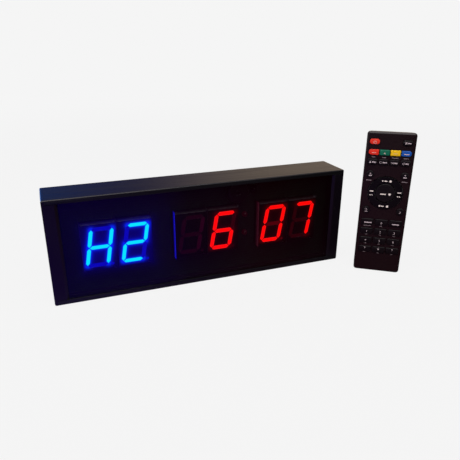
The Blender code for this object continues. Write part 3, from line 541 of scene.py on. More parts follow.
def make_window_finish():
    """Dark tinted acrylic, which scatters some of the digits' light."""
    finish = Finish("tinted acrylic", tone(3, 0, 4), 0.06, Alpha=WINDOW_TINT, IOR=1.49)
    dust = finish.effect(DUST)
    finish.vary_roughness(dust["Smears"], 0.4, 0.7, 0.02, 0.05)
    finish.tint(dust["Specks"], tone(90, 84, 84), 0.25)
    finish.bump(finish.effect(GRAIN, Size=0.002)["Height"], 0.000004)
    finish.shine(finish.attribute("haze", "Color"))
    return finish.material


def make_board_finish():
    """Dark green solder mask over copper tracks that show through faintly."""
    finish = Finish("solder mask", tone(12, 26, 20), 0.42)
    laid = give(finish.tree, "Mapping", {"Vector": finish.position, "Rotation": (math.radians(90), 0, 0)})
    tracks = give(finish.tree, "TexBrick", {"Vector": laid, "Scale": 90.0, "Mortar Size": 0.03}, "Fac")
    finish.tint(tracks, tone(24, 52, 38), 0.6)
    finish.bump(tracks, 0.00003)
    return finish.material


def make_module_finish(name, colour, fade=None):
    """A digit module's plastic, with the light that leaks out round its lit strokes.

    A side's colour can fade to black between two depths, from the front to the board, as painted shade.
    """
    finish = Finish(name, colour, 0.45, Specular_IOR_Level=0.3)
    if fade:
        # Painted shade: the side darkens from the front back towards the board
        finish.tint(finish.along("Y"), (0.0, 0.0, 0.0, 1.0), 1.0, *fade)
    finish.grained(0.0004, 0.05, 0.08, 0.00001)
    finish.shine(finish.attribute("glow", "Color"), GLOW_STRENGTH)
    return finish.material


def make_lens_finish(name, colour, edge, core, strength):
    """A stroke's or lamp's milky lens. Its light is strongest along its middle."""
    finish = Finish(name, colour, 0.3)
    finish.grained(0.0008, 0.05, 0.05)
    finish.shine(blend(finish.tree, finish.attribute("core", "Fac"), edge, core), strength)
    return finish.material


def make_metal(name, colour, roughness):
    finish = Finish(name, colour, roughness, 1.0)
    # Lighter edges: partly wear, partly a painted highlight
    finish.tint(finish.effect(WEAR_AND_HIGHLIGHT, Width=0.0002)["Mask"], tone(210, 208, 204), 0.5)
    finish.grained(0.0003, 0.06, 0.1, 0.00001)
    return finish.material


def make_print(name, colour, thin):
    """Screen print, slightly thin in places."""
    finish = Finish(name, colour, 0.6)
    finish.tint(finish.grained(0.0003, 0.05, 0.05)["Height"], thin, 0.5, 0.4, 0.75)
    return finish.material


def make_jacket(plus, minus):
    """A battery's jacket in two colours, with bare metal at its two ends, whose heights are given."""
    finish = Finish("battery jacket", tone(30, 33, 38), 0.28, 0.4)
    way = math.copysign(1.0, minus - plus)
    for end, inward, colour in (
        (plus, (minus - plus) * COPPER_SHARE, tone(168, 112, 52)),
        (plus, way * PLUS_METAL, tone(176, 174, 170)),
        (minus, -way * MINUS_METAL, tone(176, 174, 170)),
    ):
        level = end + inward
        finish.tint(finish.along("Z"), colour, 1.0, level, level - math.copysign(JACKET_BLUR, inward))
    finish.grained(0.0006, 0.04, 0.08, 0.000004)
    return finish.material


CASE_FINISH = make_case_finish()
CAP_FINISH = moulded(
    "black moulded plastic", tone(9, 4, 11), 0.32, edge_wear_and_highlight=tone(20, 18, 24), Specular_IOR_Level=0.4
)
# A bright metal-like finish laid on an end cap's top rim: a painted highlight
CAP_RIM_HIGHLIGHT = make_metal("painted rim highlight", tone(215, 222, 235), 0.2)
SCREW_FINISH = make_metal("black zinc screw", tone(52, 52, 56), 0.34)
STEEL_FINISH = make_metal("nickel plated steel", tone(150, 150, 150), 0.28)
WINDOW_FINISH = make_window_finish()
BOARD_FINISH = make_board_finish()
FRONT_OF_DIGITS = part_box("digit_1")[0].y
MODULE_FACE = make_module_finish("black module face", tone(5, 2, 5))
# The sides' grey fades to black towards the board: painted shade
MODULE_SIDE = make_module_finish(
    "grey module side with painted shade", tone(84, 80, 86), (FRONT_OF_DIGITS, FRONT_OF_DIGITS + SIDE_DEPTH)
)
DIM_LENS = make_module_finish("unlit lens", tone(22, 2, 8))
LIT_BLUE = make_lens_finish(
    "lit blue lens", tone(20, 40, 90), (0.0, 0.07, 0.80, 1.0), (0.0, 0.78, 1.0, 1.0), 2.5
)
LIT_RED = make_lens_finish(
    "lit red lens", tone(60, 4, 4), (1.0, 0.008, 0.006, 1.0), (1.0, 0.002, 0.001, 1.0), 2.7
)
LAMP_GLOW = (0.020, 0.0, 0.002, 1.0)
LAMP_FINISH = make_lens_finish("unlit red lamp", tone(34, 2, 6), LAMP_GLOW, LAMP_GLOW, 1.0)
DARK_PLASTIC = moulded("dark component plastic", tone(16, 15, 17), 0.35)
FILTER_FINISH = moulded("infrared filter plastic", tone(12, 8, 14), 0.12, depth=0.000002)
REMOTE_FINISH = moulded(
    "remote's black plastic", tone(24, 10, 13), 0.34, edge_wear_and_highlight=tone(28, 16, 18), Specular_IOR_Level=0.32
)
MAT_FINISH = moulded("grey silicone", tone(46, 46, 50), 0.65)
KEY_FINISH = moulded(
    "black key rubber", tone(11, 5, 8), 0.42, edge_wear_and_highlight=tone(26, 20, 24), Specular_IOR_Level=0.3
)
RING_FINISH = moulded(
    "ring's satin plastic", tone(6, 3, 5), 0.34, edge_wear_and_highlight=tone(24, 20, 24), Specular_IOR_Level=0.28
)
RED_KEY = moulded("red key rubber", tone(222, 44, 22), 0.42)
GREEN_KEY = moulded("green key rubber", tone(8, 98, 74), 0.42)
YELLOW_KEY = moulded("yellow key rubber", tone(236, 186, 12), 0.42)
BLUE_KEY = moulded("blue key rubber", tone(12, 76, 160), 0.42)
PRINT = make_print("white print", tone(196, 180, 184), tone(140, 124, 130))
BRIGHT_PRINT = make_print("ring's print", tone(236, 224, 216), tone(190, 176, 172))
DIM_PRINT = make_print("grey print", tone(128, 114, 118), tone(92, 80, 84))
KEY_PRINT = make_print("print on a coloured key", tone(214, 186, 178), tone(190, 150, 140))


# Camera, floor and light

def make_camera():
    data = bpy.data.cameras.new("view")
    data.lens = CAMERA_LENS
    data.sensor_width = 36.0
    data.clip_start = 0.01
    camera = bpy.data.objects.new("view", data)
    bpy.context.scene.collection.objects.link(camera)
    camera.matrix_world = (
        Matrix.Translation(CAMERA_AT)
        @ Matrix.Rotation(math.radians(-CAMERA_YAW), 4, "Z")
        @ Matrix.Rotation(math.radians(90 - CAMERA_PITCH), 4, "X")
        @ Matrix.Rotation(math.radians(CAMERA_ROLL), 4, "Z")
    )
    bpy.context.scene.camera = camera


def bare_tree(owner):
    """The emptied node tree of a material or a world."""
    owner.use_nodes = True
    owner.node_tree.nodes.clear()
    return owner.node_tree


def make_floor():
    """A pale floor. Lamps shade it only near the object, and it keeps the dark front's reflections dark."""
    pick()
    bpy.ops.mesh.primitive_plane_add(size=FLOOR_SIZE)
    floor = bpy.context.object
    floor.name = "floor"
    material = bpy.data.materials.new("pale floor")
    tree = bare_tree(material)

    def span(value, low, high):
        return stretch(tree, value, low, high, interpolation_type="SMOOTHSTEP")

    def mixed(share, first, second):
        return give(tree, "MixShader", {0: share, 1: first, 2: second})

    def added(first, second):
        return give(tree, "AddShader", {0: first, 1: second})

    def lit(colour, strength):
        return give(tree, "Emission", {"Color": colour, "Strength": strength})

    def dull(grey):
        return give(tree, "BsdfDiffuse", {"Color": (grey, grey, grey, 1)})

    white = (1, 1, 1, 1)
    place = give(tree, "TexCoord", out="Object")
    x, y = add(tree, "SeparateXYZ", {0: place}).outputs[:2]
    away = give(tree, "VectorMath", {0: place}, "Value", operation="LENGTH")
    near = added(lit(white, PALE - FLOOR_LIT), dull(FLOOR_GREY))
    seen = mixed(span(away, *FLOOR_FADE), near, lit(white, PALE))

    from_pool = give(tree, "VectorMath", {0: place, 1: POOL_MIDDLE}, "Value", operation="DISTANCE")
    colours = blend(tree, span(x, *POOL_TURN), (0.055, 0.0, 0.44, 1.0), (0.08, 0.01, 0.06, 1.0))
    front = mixed(span(from_pool, *POOL_FADE), lit(colours, 1.0), lit((0, 0, 0, 1), 0.0))
    behind = lit((1, 0.97, 1, 1), BEHIND_BOUNCE)
    thrown = added(mixed(span(y, *BEHIND_FADE), front, behind), dull(FLOOR_BOUNCE))

    to_camera = give(tree, "LightPath", out="Is Camera Ray")
    add(tree, "OutputMaterial", {0: mixed(to_camera, thrown, seen)})
    floor.data.materials.append(material)


# What the room shows to shiny surfaces: degrees from +Y towards +X, and the colour there
ROOM_COLOURS = (
    (-180, (0.07, 0.07, 0.07)), (-120, (0.10, 0.10, 0.10)), (-70, (0.25, 0.25, 0.27)),
    (-25, (0.02, 0.20, 0.66)), (0, (0.02, 0.09, 0.42)), (4, (0.03, 0.05, 0.30)),
    (8, (0.03, 0.03, 0.18)), (12, (0.08, 0.07, 0.17)), (17, (0.40, 0.31, 0.31)),
    (23, (0.62, 0.49, 0.37)), (32, (0.84, 0.64, 0.47)), (60, (0.74, 0.61, 0.48)),
    (100, (0.28, 0.26, 0.25)), (130, (0.10, 0.10, 0.10)), (180, (0.07, 0.07, 0.07)),
)


def make_world():
    """Pale to the camera. For everything else, a dim room with a warm and a cool side behind the object."""
    world = bpy.data.worlds.new("studio")
    bpy.context.scene.world = world
    tree = bare_tree(world)
    x, y, z = add(tree, "SeparateXYZ", {0: give(tree, "TexCoord", out="Generated")}).outputs
    bearing = give(tree, "Math", {0: x, 1: y}, operation="ARCTAN2")
    around = add(tree, "ValToRGB", {"Fac": stretch(tree, bearing, -math.pi, math.pi)})
    stops = around.color_ramp.elements
    for number, (degrees, colour) in enumerate(ROOM_COLOURS):
        place = (degrees + 180) / 360
        stop = stops[number] if number < 2 else stops.new(place)
        stop.position = place
        stop.color = (*colour, 1.0)
    height = stretch(tree, z, *ABOVE_FADE, interpolation_type="SMOOTHSTEP")
    colours = blend(tree, height, around.outputs["Color"], (ROOM_ABOVE, ROOM_ABOVE, ROOM_ABOVE, 1.0))
    room = give(tree, "Background", {"Color": colours})
    seen = give(tree, "Background", {"Color": (PALE, PALE, PALE, 1)})
    to_camera = give(tree, "LightPath", out="Is Camera Ray")
    add(tree, "OutputWorld", {0: give(tree, "MixShader", {0: to_camera, 1: room, 2: seen})})


def soft_light(name, place, size, power, colour=(1.0, 1.0, 1.0)):
    """A square area light that faces the object. It doesn't show itself to the camera."""
    data = bpy.data.lights.new(name, "AREA")
    data.size = size
    data.energy = power
    data.color = colour
    light = bpy.data.objects.new(name, data)
    bpy.context.scene.collection.objects.link(light)
    light.location = place
    towards = Vector((0.02, 0.0, 0.06)) - Vector(place)
    light.rotation_euler = towards.to_track_quat("-Z", "Y").to_euler()
    light.visible_camera = False


def make_lights():
    soft_light("key light", (-0.5, -0.9, 1.5), 2.4, 60.0, (1.0, 0.97, 0.96))
    soft_light("fill light", (1.3, -0.5, 0.9), 0.9, 6.0)
    soft_light("rear light", (0.3, 0.9, 2.2), 1.0, 5.0)
    soft_light("side light", (-1.3, 0.5, 0.6), 1.0, 3.0)


# Timer

def dress_cap(side, way):
    """An end cap, brought up to the extrusion's end. Its rounded outer face's top rim carries a painted
    highlight.
    """
    node = f"end_cap_{side}"
    low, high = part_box(node)
    outer = low.x if way > 0 else high.x
    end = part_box("case_extrusion")[0 if way > 0 else 1].x
    cap = replica(node, f"{node}_moulding")
    enter_edit(cap)
    select_faces(
        lambda centre, normal: normal.x * way > 0.9 and CAP_GAP / 3 < (end - centre.x) * way < CAP_GAP * 2
    )
    bpy.ops.transform.translate(value=((CAP_GAP - HAIR) * way, 0, 0))

    def at_rim(edge):
        places = [vertex.co for vertex in edge.verts]
        levels = [(axis, corner[axis]) for axis in (1, 2) for corner in (low, high)]
        return all(abs(p.x - outer) < HAIR for p in places) and any(
            all(abs(p[axis] - level) < HAIR for p in places) for axis, level in levels
        )

    select_parts("EDGE", at_rim)
    bpy.ops.mesh.bevel(offset=CAP_ROUND, segments=4, affect="EDGES")
    leave_edit()
    soften(cap, CAP_SOFT, turn=32)
    ride(cap, "display_unit", CAP_FINISH, [node])
    # Faces on the top rim take the painted highlight
    cap.data.materials.append(CAP_RIM_HIGHLIGHT)
    for face in cap.data.polygons:
        at_top = abs(face.center.x - outer) < CAP_ROUND and face.center.z > high.z - CAP_ROUND
        face.material_index = int(at_top and face.normal.z > 0.25 and abs(face.normal.x) > 0.15)


def dress_case():
    dress_copy(
        "case_extrusion", "case_extrusion_shell", "display_unit", CASE_FINISH, edge=CASE_EDGE
    )
    dress_cap("left", 1)
    dress_cap("right", -1)


def dress_screws():
    """Pan-head screws with a cross recess, one made and the others copied."""
    low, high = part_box("end_cap_screw_right_top")
    radius = (high.z - low.z) / 2
    reach = high.x - low.x
    head, shank = 0.0013, 0.0012
    slot = Vector((radius * 0.52, 0.00024))
    deep = 0.0009
    pattern = turned("screw_pattern", [
        (0.0, shank * 0.5), (shank, shank), (reach - head, shank), (reach - head + STEP, radius),
        (reach - head * 0.5, radius), (reach - head * 0.2, radius * 0.86), (reach, radius * 0.55),
    ], 32)
    for turn in (20, 110):
        bar = box(f"bar_{turn}", (*-slot, reach - deep), (*slot, reach + CUT_OVER))
        bar.rotation_euler.z = math.radians(turn)
        cut(pattern, settle(bar))
    soften(pattern, 0.00005, 1)
    for side, way in (("left", -1), ("right", 1)):
        for level, spin in (("top", 35), ("bottom", -20)):
            node = f"end_cap_screw_{side}_{level}"
            low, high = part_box(node)
            middle = (low + high) / 2
            screw = copy_of(pattern, f"{node}_detail")
            screw.matrix_world = (
                Matrix.Translation((low.x if way > 0 else high.x, middle.y, middle.z))
                @ Matrix.Rotation(math.radians(90 * way), 4, "Y")
                @ Matrix.Rotation(math.radians(spin), 4, "Z")
            )
            ride(settle(screw), "display_unit", SCREW_FINISH, [node])
    bpy.data.objects.remove(pattern)


def recess_islands():
    """The floors of the eight recesses in the first module's face, each as its own flat piece."""
    floors = replica("digit_1", "recess_floors")
    shallow, deep = (FRONT_OF_DIGITS + depth for depth in RECESS_DEPTHS)
    enter_edit(floors)
    select_faces(lambda centre, normal: normal.y < -0.9 and shallow < centre.y < deep)
    bpy.ops.mesh.select_all(action="INVERT")
    bpy.ops.mesh.delete(type="FACE")
    bpy.ops.mesh.select_all(action="SELECT")
    bpy.ops.mesh.separate(type="LOOSE")
    leave_edit()
    islands = list(bpy.context.selected_objects)
    assert len(islands) == 8
    return islands


def name_strokes(islands):
    """Sort the strokes by their place: a to g clockwise from the top with g in the middle, and the point."""
    low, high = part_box("digit_1")
    middle = (low + high) / 2
    named = {}
    for island in islands:
        corners = [v.co for v in island.data.vertices]
        centre = sum(corners, Vector()) / len(corners) - middle
        wide, tall = (max(c[i] for c in corners) - min(c[i] for c in corners) for i in (0, 2))
        if max(tall, wide) < POINT_SIZE:
            key = "point"
        elif wide > tall:
            key = "a" if centre.z > MIDDLE_STROKE else "d" if centre.z < -MIDDLE_STROKE else "g"
        elif centre.z > 0:
            key = "f" if centre.x < 0 else "b"
        else:
            key = "e" if centre.x < 0 else "c"
        named[key] = island
    return named


def stroke_ends(island):
    """The two tips of a stroke: its corners that lie furthest apart."""
    corners = [v.co.copy() for v in island.data.vertices]
    pairs = [(a, b) for a in corners for b in corners]
    return max(pairs, key=lambda pair: (pair[0] - pair[1]).length)


def make_lens(island):
    """Fill a recess with a raised lens, whose darker edge surrounds its core except at its tips."""
    tips = [tip.xz for tip in stroke_ends(island)]
    enter_edit(island)
    bpy.ops.mesh.select_all(action="SELECT")
    bpy.ops.mesh.extrude_region_move(TRANSFORM_OT_translate={"value": (0, -LENS_RISE, 0)})
    bpy.ops.mesh.inset(thickness=LENS_RIM, use_boundary=True)
    bpy.ops.transform.translate(value=(0, -LENS_RIM / 2, 0))
    bpy.ops.mesh.inset(thickness=LENS_EDGE, use_boundary=True)
    front = min(v.co.y for v in bmesh.from_edit_mesh(island.data).verts)
    leave_edit()
    core = island.data.attributes.new("core", "FLOAT", "POINT")
    island.data.attributes.new("glow", "FLOAT_COLOR", "CORNER")
    inner = {index for face in island.data.polygons if face.select for index in face.vertices}
    for vertex in island.data.vertices:
        at_front = vertex.index in inner and vertex.co.y < front + HAIR
        at_tip = min((vertex.co.xz - tip).length for tip in tips) < TIP_REACH
        core.data[vertex.index].value = 1.0 if at_front else TIP_LIGHT * at_tip


def distance_to(point, ends):
    """How far a point lies from a stroke's middle line, seen from the front."""
    a, along = ends[0].xz, ends[1].xz - ends[0].xz
    away = point.xz - a
    share = max(0.0, min(1.0, away.dot(along) / along.length_squared))
    return (away - along * share).length


def divide_front(low, high, spacing):
    """In edit mode, divide a piece's flat front into a grid, wide enough to carry colours."""
    for axis, way in ((0, (1, 0, 0)), (2, (0, 0, 1))):
        count = int((high[axis] - low[axis]) / spacing)
        for i in range(1, count):
            place = Vector(low)
            place[axis] = low[axis] + (high[axis] - low[axis]) * i / count
            select_faces(lambda centre, normal: normal.y < -0.9 and centre.y < low.y + HAIR)
            bpy.ops.mesh.bisect(plane_co=place, plane_no=way)


def make_module_pattern():
    """The first module, trimmed, with its face divided finely enough to carry the glow."""
    module = replica("digit_1", "module_pattern")
    low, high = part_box("digit_1")
    enter_edit(module)
    for end, way in ((low.z, 1), (high.z, -1)):
        select_faces(lambda centre, normal: abs(centre.z - end) < HAIR and abs(normal.z) > 0.9)
        bpy.ops.transform.translate(value=(0, 0, way * MODULE_TRIM))
    bpy.ops.mesh.select_all(action="SELECT")
    bpy.ops.mesh.bisect(plane_co=(0, low.y + SIDE_DEPTH, 0), plane_no=(0, 1, 0))
    divide_front(low, high, FACE_GRID)
    leave_edit()
    return smooth(module)


# Light that leaks from each digit, as colours: on the face for each lit stroke near it, on the face right
# beside a lit stroke, on the module's left side, and in its unlit strokes
LEAKS = {
    "blue": ((0.0, 0.0, 0.14), (0.0, 0.02, 0.76), (0.0, 0.0, 0.07), (0.0, 0.002, 0.52)),
    "blank": ((0.0, 0.0, 0.0), (0.0, 0.0, 0.0), (0.001, 0.002, 0.72), (0.008, 0.0, 0.003)),
    "six": ((0.007, 0.0, 0.0), (0.030, 0.0, 0.0), (0.0, 0.0, 0.0), (0.028, 0.0, 0.0015)),
    "nought": ((0.008, 0.0, 0.0), (0.034, 0.0, 0.0), (0.040, 0.001, 0.006), (0.080, 0.0, 0.0015)),
    "seven": ((0.006, 0.0, 0.0), (0.030, 0.0, 0.0), (0.0, 0.0, 0.0), (0.021, 0.0, 0.0010)),
}
LEAK_OF_DIGIT = ("blue", "blue", "blank", "six", "nought", "seven")


def outside_figure(point, ends):
    """How far a point lies outside the leaning outline of the whole figure, seen from the front."""
    up = ends["f"][1] - ends["f"][0]
    lean = up.x / up.z
    middle = sum(ends["g"], Vector()) / 2

    def from_middle(place):
        return abs(place.x - middle.x - lean * (place.z - middle.z)), abs(place.z - middle.z)

    corners = [from_middle(p) for key in "abcdefg" for p in ends[key]]
    across, up = (
        here - max(sizes) - STROKE_HALF for here, sizes in zip(from_middle(point), zip(*corners))
    )
    return math.hypot(max(across, 0.0) * FADE_ACROSS, max(up, 0.0) * FADE_UP)


def spread_glow(module, ends, lit, half, leak):
    """Write on each corner of a module's mesh the light that reaches it from the lit strokes."""
    inside, beside, side, unlit = (Vector(colour) for colour in LEAKS[leak])
    low = min(v.co.y for v in module.data.vertices)
    left = min(v.co.x for v in module.data.vertices)
    glow = module.data.attributes.new("glow", "FLOAT_COLOR", "CORNER")
    seen = {}
    for face in module.data.polygons:
        to_left = face.normal.x < -0.9 and face.center.x < left + HAIR
        behind = face.center.y > low + FACE_DEPTH
        for corner in face.loop_indices:
            index = module.data.loops[corner].vertex_index
            place = module.data.vertices[index].co
            if index not in seen:
                aways = [max(distance_to(place, ends[key]) - half, 0.0) for key in lit]
                share = SPILL * bool(lit) + sum(math.exp(-away / FACE_REACH) for away in aways)
                fade = math.exp(-outside_figure(place, ends) / FACE_REACH)
                fringe = math.exp(-min(aways, default=1.0) / EDGE_REACH)
                seen[index] = inside * share * fade + beside * fringe
            colour = Vector() if behind else seen[index]
            if to_left:
                colour = side * max(0.0, 1.0 - (place.y - low) / SIDE_DEPTH)
            glow.data[corner].color = (*colour, 1.0)


def dress_digits():
    islands = name_strokes(recess_islands())
    ends = {key: stroke_ends(island) for key, island in islands.items()}
    half = max(distance_to(v.co, ends["g"]) for v in islands["g"].data.vertices)
    for island in islands.values():
        make_lens(island)
    pattern = make_module_pattern()
    for number, lit in enumerate(FIGURES, 1):
        node = f"digit_{number}"
        leak = LEAK_OF_DIGIT[number - 1]
        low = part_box(node)[0]
        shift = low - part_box("digit_1")[0]
        module = copy_of(pattern, f"{node}_housing")
        spread_glow(module, ends, lit, half, leak)
        module.location = shift
        ride(settle(module), "display_unit", MODULE_FACE, [node])
        module.data.materials.append(MODULE_SIDE)
        for face in module.data.polygons:
            in_front = face.center.y < low.y + FACE_DEPTH and face.normal.y < -0.5
            face.material_index = 0 if in_front else 1
        hue, finish = ("blue", LIT_BLUE) if number in BLUE_DIGITS else ("red", LIT_RED)
        groups = (
            ("lit", [key for key in islands if key in lit], finish, f"segment_{hue}"),
            ("unlit", [key for key in islands if key not in lit], DIM_LENS, "segment_unlit"),
        )
        for state, keys, finish, slot in groups:
            copies = [copy_of(islands[key], f"{node}_{state}_{key}") for key in keys]
            for key, stroke in zip(keys, copies):
                share = NEXT_TO_LIT if leak == "blank" and key in "bc" else 1.0
                for corner in stroke.data.attributes["glow"].data:
                    corner.color = (*(Vector(LEAKS[leak][3]) * share), 1.0)
            if copies:
                lens = join(f"{node}_{state}", copies)
                lens.location = shift
                ride(smooth(settle(lens)), "display_unit", finish)
    for piece in (pattern, *islands.values()):
        bpy.data.objects.remove(piece)


# The window's haze: metres across from the middle, and the red and blue there
HAZE = (
    (-0.140, 0.0002, 0.0090), (-0.050, 0.0006, 0.0075), (-0.020, 0.0010, 0.0015), (0.060, 0.0026, 0.0),
    (0.140, 0.0014, 0.0),
)


def haze_at(x):
    for (here, red, blue), (there, next_red, next_blue) in zip(HAZE, HAZE[1:]):
        if x <= there:
            share = (x - here) / (there - here)
            return Vector((red + (next_red - red) * share, 0.0, blue + (next_blue - blue) * share))
    return Vector((HAZE[-1][1], 0.0, HAZE[-1][2]))


def dress_window():
    """The tinted window, with a fine mesh that carries the haze of the digits."""
    window = replica("front_window", "front_window_sheet")
    low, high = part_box("front_window")
    enter_edit(window)
    divide_front(low, high, HAZE_GRID)
    leave_edit()
    trim = Vector((0.0, 0.0, MODULE_TRIM))
    pair_low, pair_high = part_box("digit_1")[0] + trim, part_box("digit_2")[1] - trim
    haze = window.data.attributes.new("haze", "FLOAT_COLOR", "CORNER")
    for face in window.data.polygons:
        for corner in face.loop_indices:
            place = window.data.vertices[window.data.loops[corner].vertex_index].co
            beside = [max(pair_low[i] - place[i], place[i] - pair_high[i], 0.0) for i in (0, 2)]
            colour = haze_at(place.x) + PAIR_HALO * math.exp(-math.hypot(*beside) / HALO_REACH)
            if face.normal.y > -0.9:
                colour = Vector()
            haze.data[corner].color = (*(colour / WINDOW_TINT), 1.0)
    ride(smooth(window), "display_unit", WINDOW_FINISH, ["front_window"])


def dress_round_part(node, name, profile, sides, finish):
    """A round part that stands on the board. Its profile is worked out from its radius and height."""
    low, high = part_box(node)
    middle = (low + high) / 2
    part = turned(name, profile((high.x - low.x) / 2, high.y - low.y), sides)
    ride(turn_to_front(part, middle.x, high.y, middle.z), "display_unit", finish, [node])


def lamp_profile(radius, tall):
    dome = radius - LAMP_RIM
    turns = [math.radians(15 * k) for k in range(1, 6)]
    return [(0.0, radius), (LAMP_FOOT, radius), (LAMP_FOOT + STEP, dome), (tall - dome, dome)] + [
        (tall - dome + dome * math.sin(turn), dome * math.cos(turn)) for turn in turns
    ]


def buzzer_profile(radius, tall):
    return [
        (0.0, radius), (tall - 0.0008, radius), (tall - 0.0002, radius - 0.0004), (tall, radius - 0.001),
        (tall + MERGE, radius * 0.30), (tall - 0.0004, radius * 0.26), (tall - 0.0004 - STEP, 0.0016),
        (tall * 0.5, 0.0015),
    ]


def dress_board():
    paint("display_board", BOARD_FINISH)
    for level in ("upper", "lower"):
        node = f"colon_lamp_{level}"
        dress_round_part(node, f"{node}_dome", lamp_profile, 32, LAMP_FINISH)
    dress_round_part("buzzer", "buzzer_can", buzzer_profile, 48, DARK_PLASTIC)
    for node, name, finish, segments in (
        ("infrared_receiver", "infrared_receiver_lens", FILTER_FINISH, 2),
        ("power_socket", "power_socket_body", DARK_PLASTIC, 1),
    ):
        dress_copy(node, name, "display_unit", finish, segments=segments)


# Remote control: its own frame has x across its face, y into it and z up

def extents(places):
    """The lowest and highest corners of the box round some places."""
    return [Vector([least(p[i] for p in places) for i in range(3)]) for least in (min, max)]


def remote_frame():
    """Where the remote stands: the place and turn of its own frame."""
    press = next(j for j in frame["joints"] if j["name"] == "power_key_press")["axis"]
    turn = Matrix.Rotation(-math.atan2(press[0], press[1]), 4, "Z")
    back = turn.inverted()
    low, high = extents([back @ v.co for v in frame["nodes"]["remote_top_case"].data.vertices])
    return turn @ Matrix.Translation(((low.x + high.x) / 2, low.y, 0.0))


STAND = remote_frame()


def local_box(node, behind=math.inf):
    """A node's lowest and highest corners in the remote's frame, or those of its part in front of a depth."""
    back = STAND.inverted()
    places = [back @ v.co for v in frame["nodes"][node].data.vertices]
    return extents([p for p in places if p.y < behind])


def stand(piece):
    """Move a piece from the remote's frame to its place."""
    piece.matrix_world = STAND @ piece.matrix_world
    return settle(piece)


def finish_key(key, front):
    """Round a key's front edge, and put the key in its place."""
    enter_edit(key)
    select_faces(lambda centre, normal: normal.y < -0.9 and centre.y < front + HAIR)
    bpy.ops.mesh.bevel(offset=KEY_RIM, segments=4, affect="EDGES")
    leave_edit()
    return smooth(stand(key))


def block_key(node, corners):
    """A moulded key with its four corners rounded."""
    low, high = local_box(node, KEY_FRONT)
    key = box(f"{node}_cap", low, (high.x, local_box(node)[1].y, high.z))
    places = ((low.x, low.z), (high.x, low.z), (high.x, high.z), (low.x, high.z))
    for radius, (x, z) in zip(corners, places):
        enter_edit(key)
        select_edges(lambda place: abs(place.x - x) < HAIR and abs(place.z - z) < HAIR)
        bpy.ops.mesh.bevel(offset=radius, segments=8 if radius > LARGE_CORNER else 5, affect="EDGES")
        leave_edit()
    return finish_key(key, low.y)


def round_key(node):
    low, high = local_box(node, KEY_FRONT)
    middle = (low + high) / 2
    back = local_box(node)[1].y
    radius = (high.x - low.x) / 2
    key = turned(f"{node}_cap", [(0.0, radius), (back - low.y, radius)])
    return finish_key(turn_to_front(key, middle.x, back, middle.z), low.y)


# Each key's shape, finish and slot
BLACK_BLOCK = ("rounded", KEY_FINISH, "key_black")
KEYS = {
    "power_key": ("oval", RED_KEY, "key_red"),
    "edit_key": ("oval", KEY_FINISH, "key_black"),
    "red_key": ("left end", RED_KEY, "key_red"),
    "green_key": ("square", GREEN_KEY, "key_green"),
    "yellow_key": ("square", YELLOW_KEY, "key_yellow"),
    "blue_key": ("right end", BLUE_KEY, "key_blue"),
}
for number in range(1, 5):
    KEYS[f"mode_key_{number}"] = BLACK_BLOCK
for name in ("up_key", "down_key", "home_key", "mute_key", "enter_key"):
    KEYS[name] = ("round", KEY_FINISH, "key_black")
for name in ("left_function_key", "right_function_key", *[f"key_{n}" for n in range(10)]):
    KEYS[name] = BLACK_BLOCK

# The radii of a key's corners: left low, right low, right high and left high
CORNERS = {
    "oval": [0.0023] * 4,
    "left end": [0.0022, 0.0004, 0.0004, 0.0022],
    "right end": [0.0004, 0.0022, 0.0022, 0.0004],
    "square": [0.0004] * 4,
    "rounded": [0.0010] * 4,
}

# Marks on the keys, in mm: symbol, height, width (0 for the symbol's own), and its place from the key's
# centre, across and up
LEGENDS = {
    "power_key": [("⏻", 3.0, 0, 0.1, -0.6)],
    "edit_key": [("☰", 1.8, 2.2, -1.6, -0.1), ("■", 0.9, 3.0, 1.5, -0.1)],
    "red_key": [("■", 0.5, 3.8, 0.1, -0.5)],
    "green_key": [("▲", 1.7, 0, 0.1, -0.4)],
    "yellow_key": [("■", 0.4, 3.6, 0.1, -0.5)],
    "blue_key": [("■", 0.7, 4.6, 0.1, -0.5)],
    "mode_key_1": [("⏱", 2.4, 0, -2.2, -0.3), ("■", 1.0, 3.6, 1.2, -0.3)],
    "mode_key_2": [("⟳", 2.2, 0, -2.2, -0.3), ("■", 1.0, 3.6, 1.2, -0.3)],
    "mode_key_3": [("∞", 1.4, 0, -1.5, -0.3), ("■", 1.0, 2.2, 1.4, -0.3)],
    "mode_key_4": [("⚙", 2.2, 0, -1.6, -0.3), ("■", 1.0, 2.8, 1.4, -0.3)],
    "up_key": [("▲", 1.3, 0, 0.2, 0.9), ("■", 0.9, 3.0, 0.2, -1.3)],
    "down_key": [("▼", 1.3, 0, 0.3, 0.5), ("■", 0.9, 3.0, 0.3, -1.5)],
    "enter_key": [("■", 1.1, 5.4, -1.9, -1.1), ("●", 2.3, 0, 4.2, -1.0)],
    "home_key": [("⌂", 2.4, 0, -0.2, 0.3), ("■", 0.6, 2.4, -0.2, -1.9)],
    "mute_key": [("♪", 2.6, 0, 0.1, -0.4)],
    "left_function_key": [("■", 1.0, 7.2, 0.4, -0.7)],
    "right_function_key": [("■", 1.0, 6.6, 0.0, -0.8)],
    "key_0": [("0", 2.1, 0, 0.0, -0.6)],
}

# Dashes on the remote's face, in mm: width, and place from the centre of the key that they belong to
FACE_DASHES = {
    "red_key": (3.2, 0.1, -4.8), "green_key": (3.6, 0.1, -4.8), "yellow_key": (6.2, 0.2, -4.8),
    "blue_key": (4.6, 0.2, -4.8), "up_key": (4.8, -0.8, -6.2), "down_key": (5.4, 0.4, -6.1),
    "left_function_key": (7.0, 0.3, -4.3), "key_0": (2.4, 0.0, -4.2),
}
for number in range(1, 10):
    LEGENDS[f"key_{number}"] = [(str(number), 2.1, 0, 0.0, (-0.3, 0.0, 1.1)[(number - 1) // 3])]
    FACE_DASHES[f"key_{number}"] = (1.6 if number == 1 else 2.2, 0.0, -3.8)

